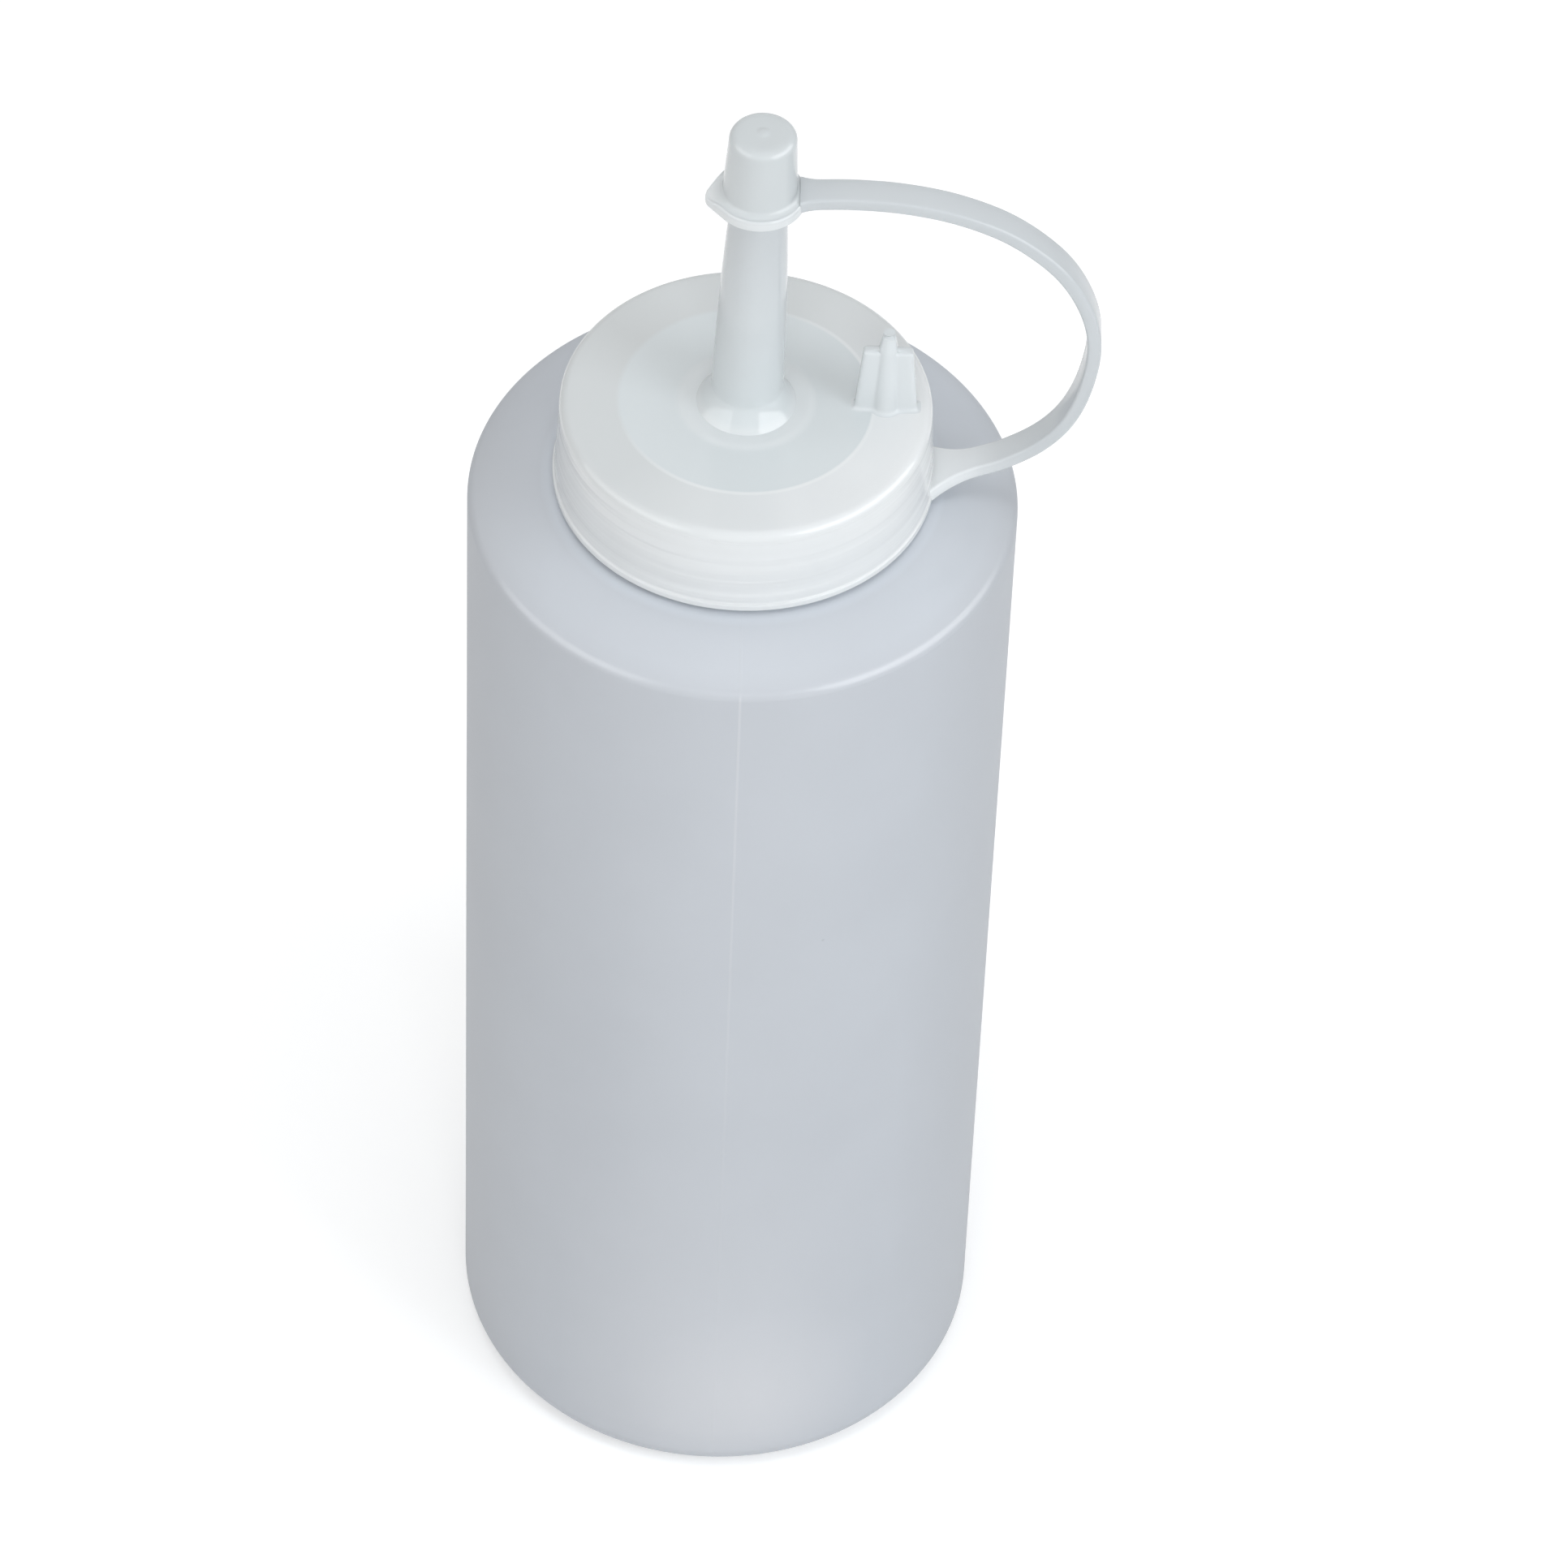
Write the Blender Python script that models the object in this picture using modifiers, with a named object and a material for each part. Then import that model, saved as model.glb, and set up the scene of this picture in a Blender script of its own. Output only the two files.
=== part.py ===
"""Squeeze dispensing bottle with a screw cap, a cone nozzle and a tip cap on a strap.

Metres, +Z up. The origin is the centre of the base, on the bottle's axis.
The strap's loop lies in the XZ plane, on the +X side, and the nozzle leans a little that way.
"""
import math

import bmesh
import bpy
import numpy as np

OBJECT_NAME = "dispensing_bottle"

# Clearances
GAP = 0.0003
THREAD_CLEARANCE = 0.00035
OVERRUN = 0.0005

# Bottle body
BODY_DIAMETER = 0.060
BODY_EDGE_HEIGHT = 0.13625
BODY_WALL = 0.0011
BASE_THICKNESS = 0.0016
HEEL_RADIUS = 0.0033
HEEL_INNER_RADIUS = 0.0025
EDGE_RADIUS = 0.0015
EDGE_INNER_RADIUS = 0.0010
SHOULDER_TILT = math.radians(25.0)
SHOULDER_WALL = 0.0012

# Bottle neck and its thread
NECK_DIAMETER = 0.0348
NECK_WALL = 0.0020
NECK_LENGTH = 0.0088
NECK_FOOT_RADIUS = 0.0008
LIP_ROUND = 0.0003
THREAD_LEAD = 0.00423
THREAD_TURNS = 1.5
THREAD_START = 0.0013
THREAD_DEPTH = 0.0012
THREAD_ROOT_WIDTH = 0.0014
THREAD_CREST_WIDTH = 0.0007
THREAD_FADE = math.radians(24.0)

# Seal ring between the lip and the cap's roof
SEAL_THICKNESS = 0.0008
SEAL_LAP = 0.0002
SEAL_WIDTH = 0.0038

# Screw cap
CAP_WALL = 0.00115
CAP_ROOF = 0.0011
CAP_EDGE_RADIUS = 0.0010
CAP_FLARE = 0.00045
CAP_BEAD_HEIGHT = 0.0009
CAP_BEAD_PROUD = 0.0002
CAP_THREAD_TURNS = 1.25
CAP_THREAD_DEPTH = 0.00095
CAP_THREAD_ROOT_WIDTH = 0.0013
CAP_THREAD_CREST_WIDTH = 0.0006

# Nozzle on the screw cap
NOZZLE_LENGTH = 0.0377
NOZZLE_FOOT_DIAMETER = 0.00776
NOZZLE_TIP_DIAMETER = 0.0049
NOZZLE_WALL = 0.00115
NOZZLE_TIP_ROUND = 0.0002
NOZZLE_FILLET_WIDTH = 0.0034
NOZZLE_FILLET_HEIGHT = 0.0018
NOZZLE_LEAN_SHARE = 0.02

# Parking peg on the screw cap: a pin with a blunt point, between two blades
PEG_OFFSET = 0.0150
PEG_HEIGHT = 0.0112
PEG_POINT_HEIGHT = 0.0026
PEG_POINT_DIAMETER = 0.0012
PEG_PIN_TOP_DIAMETER = 0.0021
PEG_PIN_FOOT_DIAMETER = 0.0029
PEG_BLADE_TOP_SPAN = 0.0053
PEG_BLADE_FOOT_SPAN = 0.0068
PEG_BLADE_THICKNESS = 0.0014
PEG_ROOTING = 0.0004

# Tip cap
TIP_GRIP = 0.0074
TIP_ROOF = 0.0022
TIP_TOP_DIAMETER = 0.00716
TIP_FOOT_DIAMETER = 0.0079
TIP_EDGE_RADIUS = 0.0010
FLANGE_DIAMETER = 0.0098
FLANGE_THICKNESS = 0.0016
TAB_REACH = 0.0057
TAB_TIP_RADIUS = 0.0017
TAB_TURN = math.radians(5.0)

# Strap
STRAP_WIDTH = 0.0032
STRAP_THICKNESS = 0.0015
STRAP_CORNER = 0.00025
STRAP_STAND_OUT = 0.0161
STRAP_ROOT_FLARE = 0.0040
STRAP_ROOT_FLARE_LENGTH = 0.0055
STRAP_TIP_FLARE = 0.0016
STRAP_TIP_FLARE_LENGTH = 0.0022

# Strap's loop, from the cap's rim round to the tip cap's flange. Each point is a share of the way
# out from the rim (or the flange) to the loop's farthest point, and of the height between them.
STRAP_LOWER_SHARES = (
    (0.000, 0.000),
    (0.261, 0.042),
    (0.466, 0.081),
    (0.683, 0.146),
    (0.845, 0.232),
    (0.950, 0.347),
    (1.000, 0.491),
)
STRAP_UPPER_SHARES = (
    (0.981, 0.611),
    (0.915, 0.731),
    (0.818, 0.826),
    (0.677, 0.912),
    (0.505, 0.971),
    (0.329, 1.001),
    (0.160, 1.009),
    (0.000, 1.003),
)

# Facets
BODY_SEGMENTS = 64
CAP_SEGMENTS = 48
TIP_SEGMENTS = 32
PEG_SEGMENTS = 24
ARC_STEPS = 4
DOME_STEPS = 3
NOZZLE_STEPS = 6
STRAP_STEPS_PER_SPAN = 3
MERGE_DISTANCE = 0.000001

# Radii and heights that several pieces share
BODY_R = BODY_DIAMETER / 2
NECK_R = NECK_DIAMETER / 2
NECK_BORE_R = NECK_R - NECK_WALL
EDGE_R = BODY_R - EDGE_RADIUS + EDGE_RADIUS * math.sin(SHOULDER_TILT)
EDGE_Z = BODY_EDGE_HEIGHT - EDGE_RADIUS + EDGE_RADIUS * math.cos(SHOULDER_TILT)
SHOULDER_RISE = math.tan(SHOULDER_TILT) * (EDGE_R - NECK_R) / 2
CROWN_Z = EDGE_Z + SHOULDER_RISE
LIP_Z = CROWN_Z + NECK_LENGTH
SEAL_Z = LIP_Z + GAP
SEAL_R = NECK_R + SEAL_LAP
SEAL_BORE_R = SEAL_R - SEAL_WIDTH
ROOF_UNDER_Z = SEAL_Z + SEAL_THICKNESS + GAP
CAP_TOP_Z = ROOF_UNDER_Z + CAP_ROOF
SKIRT_Z = CROWN_Z + GAP
CAP_BORE_R = NECK_R + THREAD_DEPTH + THREAD_CLEARANCE
CAP_R = CAP_BORE_R + CAP_WALL
BEAD_R = CAP_R + CAP_FLARE + CAP_BEAD_PROUD
NOZZLE_FOOT_R = NOZZLE_FOOT_DIAMETER / 2
NOZZLE_TIP_R = NOZZLE_TIP_DIAMETER / 2
NOZZLE_TOP_Z = CAP_TOP_Z + NOZZLE_LENGTH
FLANGE_R = FLANGE_DIAMETER / 2
FLANGE_Z = NOZZLE_TOP_Z - TIP_GRIP
TIP_ROOF_Z = NOZZLE_TOP_Z + GAP
TIP_TOP_Z = TIP_ROOF_Z + TIP_ROOF
STRAP_ROOT_Z = SKIRT_Z + GAP + STRAP_THICKNESS / 2
STRAP_TIP_Z = FLANGE_Z + FLANGE_THICKNESS / 2


def clear_scene():
    """Remove the objects of the scene that the script runs in."""
    for item in list(bpy.data.objects):
        bpy.data.objects.remove(item, do_unlink=True)


def new_collection(name):
    """Add a collection under the scene's own."""
    collection = bpy.data.collections.new(name)
    bpy.context.scene.collection.children.link(collection)
    return collection


def plastic(name, colour, roughness):
    """A plain moulded plastic."""
    material = bpy.data.materials.new(name)
    material.use_nodes = True
    shader = material.node_tree.nodes["Principled BSDF"]
    shader.inputs["Base Color"].default_value = (*colour, 1.0)
    shader.inputs["Roughness"].default_value = roughness
    shader.inputs["Metallic"].default_value = 0.0
    return material


def link_mesh(name, mesh, collection, material=None):
    """Make an object of a mesh in a collection."""
    item = bpy.data.objects.new(name, mesh)
    collection.objects.link(item)
    if material is not None:
        mesh.materials.append(material)
    return item


def mark_cutter(item):
    """Keep a helper solid out of the model."""
    item.hide_render = True
    item.display_type = "WIRE"


def set_origin(item, height):
    """Move the object's origin up the bottle's axis, with its shape left in place."""
    for vertex in item.data.vertices:
        vertex.co.z -= height
    item.location.z = height


def arc(centre, radius, start, end, steps):
    """Points of an arc in the (radius, height) half plane. Radius may be one value or two."""
    across, up = radius if isinstance(radius, tuple) else (radius, radius)
    angles = np.linspace(start, end, steps + 1)
    return [(centre[0] + across * math.cos(a), centre[1] + up * math.sin(a)) for a in angles]


def turned(name, profile, segments, collection, material=None, closed=False):
    """Turn a (radius, height) profile about Z with a Screw modifier."""
    mesh = bpy.data.meshes.new(name)
    points = [(radius, 0.0, height) for radius, height in profile]
    edges = [(i, i + 1) for i in range(len(points) - 1)]
    if closed:
        edges.append((len(points) - 1, 0))
    mesh.from_pydata(points, edges, [])
    item = link_mesh(name, mesh, collection, material)
    screw = item.modifiers.new("Turn", "SCREW")
    screw.axis = "Z"
    screw.angle = math.tau
    screw.steps = segments
    screw.render_steps = segments
    screw.use_merge_vertices = True
    screw.merge_threshold = MERGE_DISTANCE
    screw.use_smooth_shade = True
    return item


def loft(name, sections, collection, material=None):
    """Skin a run of closed sections with the same count of points, and cap both ends."""
    sections = np.asarray(sections, dtype=float)
    rows, count = sections.shape[:2]
    mesh = bpy.data.meshes.new(name)
    build = bmesh.new()
    rings = [[build.verts.new(tuple(point)) for point in section] for section in sections]
    for row in range(rows - 1):
        for i in range(count):
            j = (i + 1) % count
            build.faces.new((rings[row][i], rings[row][j], rings[row + 1][j], rings[row + 1][i]))
    build.faces.new(list(reversed(rings[0])))
    build.faces.new(rings[-1])
    bmesh.ops.recalc_face_normals(build, faces=build.faces)
    build.to_mesh(mesh)
    build.free()
    mesh.shade_smooth()
    mesh.set_sharp_from_angle(angle=math.radians(30.0))
    return link_mesh(name, mesh, collection, material)


def lean_at(height):
    """How far the nozzle's axis stands off the bottle's axis at a height."""
    return NOZZLE_LEAN_SHARE * max(0.0, height - CAP_TOP_Z)


def make_lean(item):
    """Fix a piece's modifiers into its mesh, and lean what stands above the cap's roof."""
    bpy.context.view_layer.update()
    evaluated = item.evaluated_get(bpy.context.evaluated_depsgraph_get())
    mesh = bpy.data.meshes.new_from_object(evaluated)
    for vertex in mesh.vertices:
        vertex.co.x += lean_at(vertex.co.z)
    item.modifiers.clear()
    item.data = mesh


def combine(item, other, operation, label):
    """Join or cut a piece with a helper solid."""
    boolean = item.modifiers.new(label, "BOOLEAN")
    boolean.operation = operation
    boolean.solver = "EXACT"
    boolean.object = other
    mark_cutter(other)


def shoulder_height(radius):
    """Height of the domed shoulder: level at the neck, and tilted at the body's edge."""
    share = (radius - NECK_R) / (EDGE_R - NECK_R)
    return CROWN_Z - SHOULDER_RISE * share * share


def nozzle_radius(height):
    """Outer radius of the nozzle, which thins with the square of the height up it."""
    share = (height - CAP_TOP_Z) / NOZZLE_LENGTH
    return NOZZLE_FOOT_R - (NOZZLE_FOOT_R - NOZZLE_TIP_R) * share * share


def thread_ridge(name, wall_r, depth, root_width, crest_width, start_z, start_angle, turns,
                 segments, collection):
    """A helical ridge of trapezoid section on a wall. A negative depth points it inwards."""
    steps = round(turns * segments)
    rooting = math.copysign(OVERRUN, depth)
    sections = []
    for step in range(steps + 1):
        turn = turns * step / steps
        angle = start_angle + math.tau * turn
        to_end = min(turn, turns - turn) * math.tau
        fade = min(1.0, to_end / THREAD_FADE)
        crest_r = wall_r - rooting / 2 + (depth + rooting / 2) * fade
        centre_z = start_z + THREAD_LEAD * turn
        flat = (
            (wall_r - rooting, centre_z - root_width / 2),
            (crest_r, centre_z - crest_width / 2),
            (crest_r, centre_z + crest_width / 2),
            (wall_r - rooting, centre_z + root_width / 2),
        )
        sections.append([(r * math.cos(angle), r * math.sin(angle), z) for r, z in flat])
    return loft(name, sections, collection)


def bottle_profile():
    """The bottle's section: up the inside from the base, over the lip and down the outside."""
    quarter = math.pi / 2
    inner_r = BODY_R - BODY_WALL
    inner_edge_r = inner_r - EDGE_INNER_RADIUS * (1 - math.sin(SHOULDER_TILT))
    inner_edge_z = shoulder_height(inner_edge_r) - SHOULDER_WALL
    arc_z = inner_edge_z - EDGE_INNER_RADIUS * math.cos(SHOULDER_TILT)
    bore_foot_z = CROWN_Z - SHOULDER_WALL
    points = [(0.0, BASE_THICKNESS)]
    points += arc((inner_r - HEEL_INNER_RADIUS, BASE_THICKNESS + HEEL_INNER_RADIUS),
                  HEEL_INNER_RADIUS, -quarter, 0.0, ARC_STEPS)
    points += arc((inner_r - EDGE_INNER_RADIUS, arc_z), EDGE_INNER_RADIUS, 0.0,
                  quarter - SHOULDER_TILT, ARC_STEPS)
    for radius in np.linspace(inner_edge_r, NECK_R, DOME_STEPS + 1)[1:]:
        points.append((radius, shoulder_height(radius) - SHOULDER_WALL))
    points.append((NECK_BORE_R, bore_foot_z))
    points.append((NECK_BORE_R, LIP_Z - LIP_ROUND))
    points.append((NECK_BORE_R + LIP_ROUND, LIP_Z))
    points.append((NECK_R - LIP_ROUND, LIP_Z))
    points.append((NECK_R, LIP_Z - LIP_ROUND))
    foot_r = NECK_R + NECK_FOOT_RADIUS
    foot_z = shoulder_height(foot_r) + NECK_FOOT_RADIUS
    points += arc((foot_r, foot_z), NECK_FOOT_RADIUS, math.pi, 3 * quarter, 2)
    for radius in np.linspace(foot_r, EDGE_R, DOME_STEPS + 1)[1:-1]:
        points.append((radius, shoulder_height(radius)))
    points += arc((BODY_R - EDGE_RADIUS, BODY_EDGE_HEIGHT - EDGE_RADIUS), EDGE_RADIUS,
                  quarter - SHOULDER_TILT, 0.0, ARC_STEPS)
    points += arc((BODY_R - HEEL_RADIUS, HEEL_RADIUS), HEEL_RADIUS, 0.0, -quarter, ARC_STEPS)
    points.append((0.0, 0.0))
    return points


def make_bottle(parts, helpers):
    """The blow moulded bottle: body, shoulder, neck and neck thread in one piece."""
    material = plastic("bottle_milky_plastic", (0.56, 0.60, 0.65), 0.35)
    bottle = turned("bottle", bottle_profile(), BODY_SEGMENTS, parts, material)
    ridge = thread_ridge("neck_thread_ridge", NECK_R, THREAD_DEPTH, THREAD_ROOT_WIDTH,
                         THREAD_CREST_WIDTH, CROWN_Z + THREAD_START, 0.0, THREAD_TURNS,
                         BODY_SEGMENTS, helpers)
    combine(bottle, ridge, "UNION", "Neck thread")
    return bottle


def make_seal_ring(parts):
    """The flat ring that the screw cap presses on the bottle's lip."""
    material = plastic("seal_white_foam", (0.86, 0.87, 0.88), 0.6)
    top_z = SEAL_Z + SEAL_THICKNESS
    section = [(SEAL_BORE_R, top_z), (SEAL_R, top_z), (SEAL_R, SEAL_Z), (SEAL_BORE_R, SEAL_Z)]
    ring = turned("seal_ring", section, CAP_SEGMENTS, parts, material, closed=True)
    set_origin(ring, SEAL_Z)
    return ring


def cap_profile():
    """The screw cap's section, from the nozzle's tip down the outside and back up the inside."""
    quarter = math.pi / 2
    fillet_top_z = CAP_TOP_Z + NOZZLE_FILLET_HEIGHT
    shank_r = nozzle_radius(fillet_top_z)
    skirt_top_z = CAP_TOP_Z - CAP_EDGE_RADIUS
    bead_top_z = SKIRT_Z + CAP_BEAD_HEIGHT
    bead_round = CAP_BEAD_PROUD
    points = [(NOZZLE_TIP_R - NOZZLE_TIP_ROUND, NOZZLE_TOP_Z)]
    for height in np.linspace(NOZZLE_TOP_Z - NOZZLE_TIP_ROUND, fillet_top_z, NOZZLE_STEPS + 1)[:-1]:
        points.append((nozzle_radius(height), height))
    points += arc((shank_r + NOZZLE_FILLET_WIDTH, fillet_top_z),
                  (NOZZLE_FILLET_WIDTH, NOZZLE_FILLET_HEIGHT), math.pi, 3 * quarter, ARC_STEPS)
    points += arc((CAP_R - CAP_EDGE_RADIUS, skirt_top_z), CAP_EDGE_RADIUS, quarter, 0.0, ARC_STEPS)
    points.append((CAP_R + CAP_FLARE, bead_top_z + bead_round))
    points.append((BEAD_R, bead_top_z))
    points.append((BEAD_R, SKIRT_Z + bead_round))
    points.append((BEAD_R - bead_round, SKIRT_Z))
    points.append((CAP_BORE_R, SKIRT_Z))
    points.append((CAP_BORE_R, ROOF_UNDER_Z))
    bore_foot_r = NOZZLE_FOOT_R - NOZZLE_WALL
    points.append((bore_foot_r + CAP_ROOF, ROOF_UNDER_Z))
    for height in np.linspace(CAP_TOP_Z, NOZZLE_TOP_Z, NOZZLE_STEPS + 1):
        points.append((nozzle_radius(height) - NOZZLE_WALL, height))
    return points


def peg_blades(helpers):
    """The parking peg's two blades in one plate, wider at its foot than at its top."""
    build = bmesh.new()
    bmesh.ops.create_cube(build, size=1.0)
    foot_z = CAP_TOP_Z - PEG_ROOTING
    top_z = CAP_TOP_Z + PEG_HEIGHT - PEG_POINT_HEIGHT
    for vertex in build.verts:
        at_top = vertex.co.z > 0
        vertex.co.x = PEG_OFFSET + vertex.co.x * (PEG_BLADE_TOP_SPAN if at_top else PEG_BLADE_FOOT_SPAN)
        vertex.co.y *= PEG_BLADE_THICKNESS
        vertex.co.z = top_z if at_top else foot_z
    mesh = bpy.data.meshes.new("peg_blades")
    build.to_mesh(mesh)
    build.free()
    return link_mesh("peg_blades", mesh, helpers)


def peg_pin(helpers):
    """The parking peg's round pin, with a blunt point above the blades."""
    foot_z = CAP_TOP_Z - PEG_ROOTING
    top_z = CAP_TOP_Z + PEG_HEIGHT
    profile = [(0.0, top_z), (PEG_POINT_DIAMETER / 2, top_z),
               (PEG_PIN_TOP_DIAMETER / 2, top_z - PEG_POINT_HEIGHT),
               (PEG_PIN_FOOT_DIAMETER / 2, foot_z), (0.0, foot_z)]
    pin = turned("peg_pin", profile, PEG_SEGMENTS, helpers)
    pin.location.x = PEG_OFFSET
    return pin


def make_screw_cap(parts, helpers):
    """The screw cap with its nozzle, its inner thread and its parking peg, one moulding."""
    material = plastic("cap_milky_plastic", (0.74, 0.78, 0.79), 0.25)
    cap = turned("screw_cap", cap_profile(), CAP_SEGMENTS, parts, material, closed=True)
    make_lean(cap)
    drop = (THREAD_ROOT_WIDTH + CAP_THREAD_ROOT_WIDTH) / 2
    lowest_z = SKIRT_Z + GAP + CAP_THREAD_ROOT_WIDTH / 2
    start_turn = (lowest_z - (CROWN_Z + THREAD_START - drop)) / THREAD_LEAD
    ridge = thread_ridge("cap_thread_ridge", CAP_BORE_R, -CAP_THREAD_DEPTH, CAP_THREAD_ROOT_WIDTH,
                         CAP_THREAD_CREST_WIDTH, lowest_z, math.tau * start_turn,
                         CAP_THREAD_TURNS, CAP_SEGMENTS, helpers)
    combine(cap, ridge, "UNION", "Cap thread")
    combine(cap, peg_blades(helpers), "UNION", "Peg blades")
    combine(cap, peg_pin(helpers), "UNION", "Peg pin")
    set_origin(cap, SKIRT_Z)
    return cap


def flange_plate(helpers):
    """The tip cap's flange: a disc drawn out into a rounded thumb tab on the -X side."""
    tab_x = -(TAB_REACH - TAB_TIP_RADIUS)
    lean = math.acos((FLANGE_R - TAB_TIP_RADIUS) / -tab_x)
    round_disc = np.linspace(lean - math.pi, math.pi - lean, TIP_SEGMENTS)
    round_tab = np.linspace(math.pi - lean, math.pi + lean, 2 * ARC_STEPS + 1)
    outline = [(FLANGE_R * math.cos(a), FLANGE_R * math.sin(a)) for a in round_disc]
    outline += [(tab_x + TAB_TIP_RADIUS * math.cos(a), TAB_TIP_RADIUS * math.sin(a))
                for a in round_tab]
    curve = bpy.data.curves.new("flange_outline", "CURVE")
    curve.dimensions = "2D"
    curve.fill_mode = "BOTH"
    curve.extrude = FLANGE_THICKNESS / 2
    spline = curve.splines.new("POLY")
    spline.points.add(len(outline) - 1)
    for point, (x, y) in zip(spline.points, outline):
        point.co = (x, y, 0.0, 1.0)
    spline.use_cyclic_u = True
    drawn = bpy.data.objects.new("flange_outline", curve)
    helpers.objects.link(drawn)
    drawn.location.z = FLANGE_Z + FLANGE_THICKNESS / 2
    drawn.rotation_euler.z = TAB_TURN
    bpy.context.view_layer.update()
    evaluated = drawn.evaluated_get(bpy.context.evaluated_depsgraph_get())
    mesh = bpy.data.meshes.new_from_object(evaluated)
    build = bmesh.new()
    build.from_mesh(mesh)
    bmesh.ops.remove_doubles(build, verts=build.verts, dist=MERGE_DISTANCE)
    build.to_mesh(mesh)
    build.free()
    plate = link_mesh("flange_plate", mesh, helpers)
    plate.matrix_world = drawn.matrix_world.copy()
    bpy.data.objects.remove(drawn, do_unlink=True)
    return plate


def make_tip_cap(parts, helpers):
    """The small cap over the nozzle's tip, with its flange and thumb tab."""
    material = plastic("tip_cap_milky_plastic", (0.74, 0.78, 0.79), 0.25)
    quarter = math.pi / 2
    top_r = TIP_TOP_DIAMETER / 2
    outside = [(0.0, TIP_TOP_Z)]
    outside += arc((top_r - TIP_EDGE_RADIUS, TIP_TOP_Z - TIP_EDGE_RADIUS), TIP_EDGE_RADIUS,
                   quarter, 0.0, ARC_STEPS)
    outside.append((TIP_FOOT_DIAMETER / 2, FLANGE_Z + FLANGE_THICKNESS / 2))
    outside.append((0.0, FLANGE_Z + FLANGE_THICKNESS / 2))
    cap = turned("tip_cap", outside, TIP_SEGMENTS, parts, material)
    combine(cap, flange_plate(helpers), "UNION", "Flange")
    mouth_r = nozzle_radius(FLANGE_Z) + GAP
    end_r = NOZZLE_TIP_R + GAP
    flare = (mouth_r - end_r) / (TIP_ROOF_Z - FLANGE_Z) * OVERRUN
    inside = [(0.0, TIP_ROOF_Z), (end_r, TIP_ROOF_Z), (mouth_r, FLANGE_Z),
              (mouth_r + flare, FLANGE_Z - OVERRUN), (0.0, FLANGE_Z - OVERRUN)]
    bore = turned("tip_bore_cutter", inside, TIP_SEGMENTS, helpers)
    combine(cap, bore, "DIFFERENCE", "Bore")
    make_lean(cap)
    set_origin(cap, FLANGE_Z)
    return cap


def smooth_path(points, steps):
    """Points of a Catmull-Rom curve through the given ones, with so many steps in each span."""
    points = np.asarray(points, dtype=float)
    first = 2 * points[0] - points[1]
    last = 2 * points[-1] - points[-2]
    held = np.vstack([first, points, last])
    shares = np.arange(steps) / steps
    curve = []
    for i in range(1, len(held) - 2):
        before, start, end, after = held[i - 1:i + 3]
        for t in shares:
            curve.append(0.5 * (2 * start + (end - before) * t
                                + (2 * before - 5 * start + 4 * end - after) * t ** 2
                                + (3 * start - before - 3 * end + after) * t ** 3))
    curve.append(points[-1])
    return np.array(curve)


def strap_path():
    """The middle line of the strap's loop in the XZ plane, from inside the rim to the flange."""
    farthest = BEAD_R + STRAP_STAND_OUT
    flange_x = lean_at(STRAP_TIP_Z) + FLANGE_R
    height = STRAP_TIP_Z - STRAP_ROOT_Z
    lower = [(BEAD_R + (farthest - BEAD_R) * out, STRAP_ROOT_Z + height * up)
             for out, up in STRAP_LOWER_SHARES]
    upper = [(flange_x + (farthest - flange_x) * out, STRAP_ROOT_Z + height * up)
             for out, up in STRAP_UPPER_SHARES]
    return smooth_path(lower + upper, STRAP_STEPS_PER_SPAN)


def make_strap(parts, helpers):
    """The flexible strap that ties the tip cap to the screw cap's rim."""
    material = plastic("strap_milky_plastic", (0.66, 0.70, 0.72), 0.3)
    path = strap_path()
    along = np.gradient(path, axis=0)
    along /= np.linalg.norm(along, axis=1)[:, None]
    lengths = np.r_[0.0, np.cumsum(np.linalg.norm(np.diff(path, axis=0), axis=1))]
    path[0] -= along[0] * CAP_WALL
    path[-1] += along[-1] * (FLANGE_R - TIP_FOOT_DIAMETER / 2)
    half_thick = STRAP_THICKNESS / 2
    sections = []
    for (x, z), (dx, dz), run in zip(path, along, lengths):
        from_root = max(0.0, 1 - run / STRAP_ROOT_FLARE_LENGTH)
        from_tip = max(0.0, 1 - (lengths[-1] - run) / STRAP_TIP_FLARE_LENGTH)
        half_wide = (STRAP_WIDTH + STRAP_ROOT_FLARE * from_root ** 2
                     + STRAP_TIP_FLARE * from_tip ** 2) / 2
        corner = STRAP_CORNER
        outline = (
            (half_wide - corner, -half_thick), (half_wide, corner - half_thick),
            (half_wide, half_thick - corner), (half_wide - corner, half_thick),
            (corner - half_wide, half_thick), (-half_wide, half_thick - corner),
            (-half_wide, corner - half_thick), (corner - half_wide, -half_thick),
        )
        sections.append([(x - dz * up, side, z + dx * up) for side, up in outline])
    strap = loft("strap", sections, parts, material)
    strap_low_z = SKIRT_Z - OVERRUN
    rim = [(0.0, CAP_TOP_Z), (BEAD_R + GAP, CAP_TOP_Z), (BEAD_R + GAP, strap_low_z),
           (0.0, strap_low_z)]
    combine(strap, turned("rim_cutter", rim, BODY_SEGMENTS, helpers), "DIFFERENCE", "Rim")
    flange = [(0.0, TIP_TOP_Z), (FLANGE_R + GAP, TIP_TOP_Z),
              (FLANGE_R + GAP, FLANGE_Z - FLANGE_THICKNESS), (0.0, FLANGE_Z - FLANGE_THICKNESS)]
    flange_cutter = turned("flange_cutter", flange, BODY_SEGMENTS, helpers)
    flange_cutter.location.x = lean_at(STRAP_TIP_Z)
    combine(strap, flange_cutter, "DIFFERENCE", "Flange")
    set_origin(strap, SKIRT_Z)
    return strap


def hold(parent, child):
    """Parent a piece to the one that carries it, both with their origins on the axis."""
    child.location.z -= parent.location.z
    child.parent = parent


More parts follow.
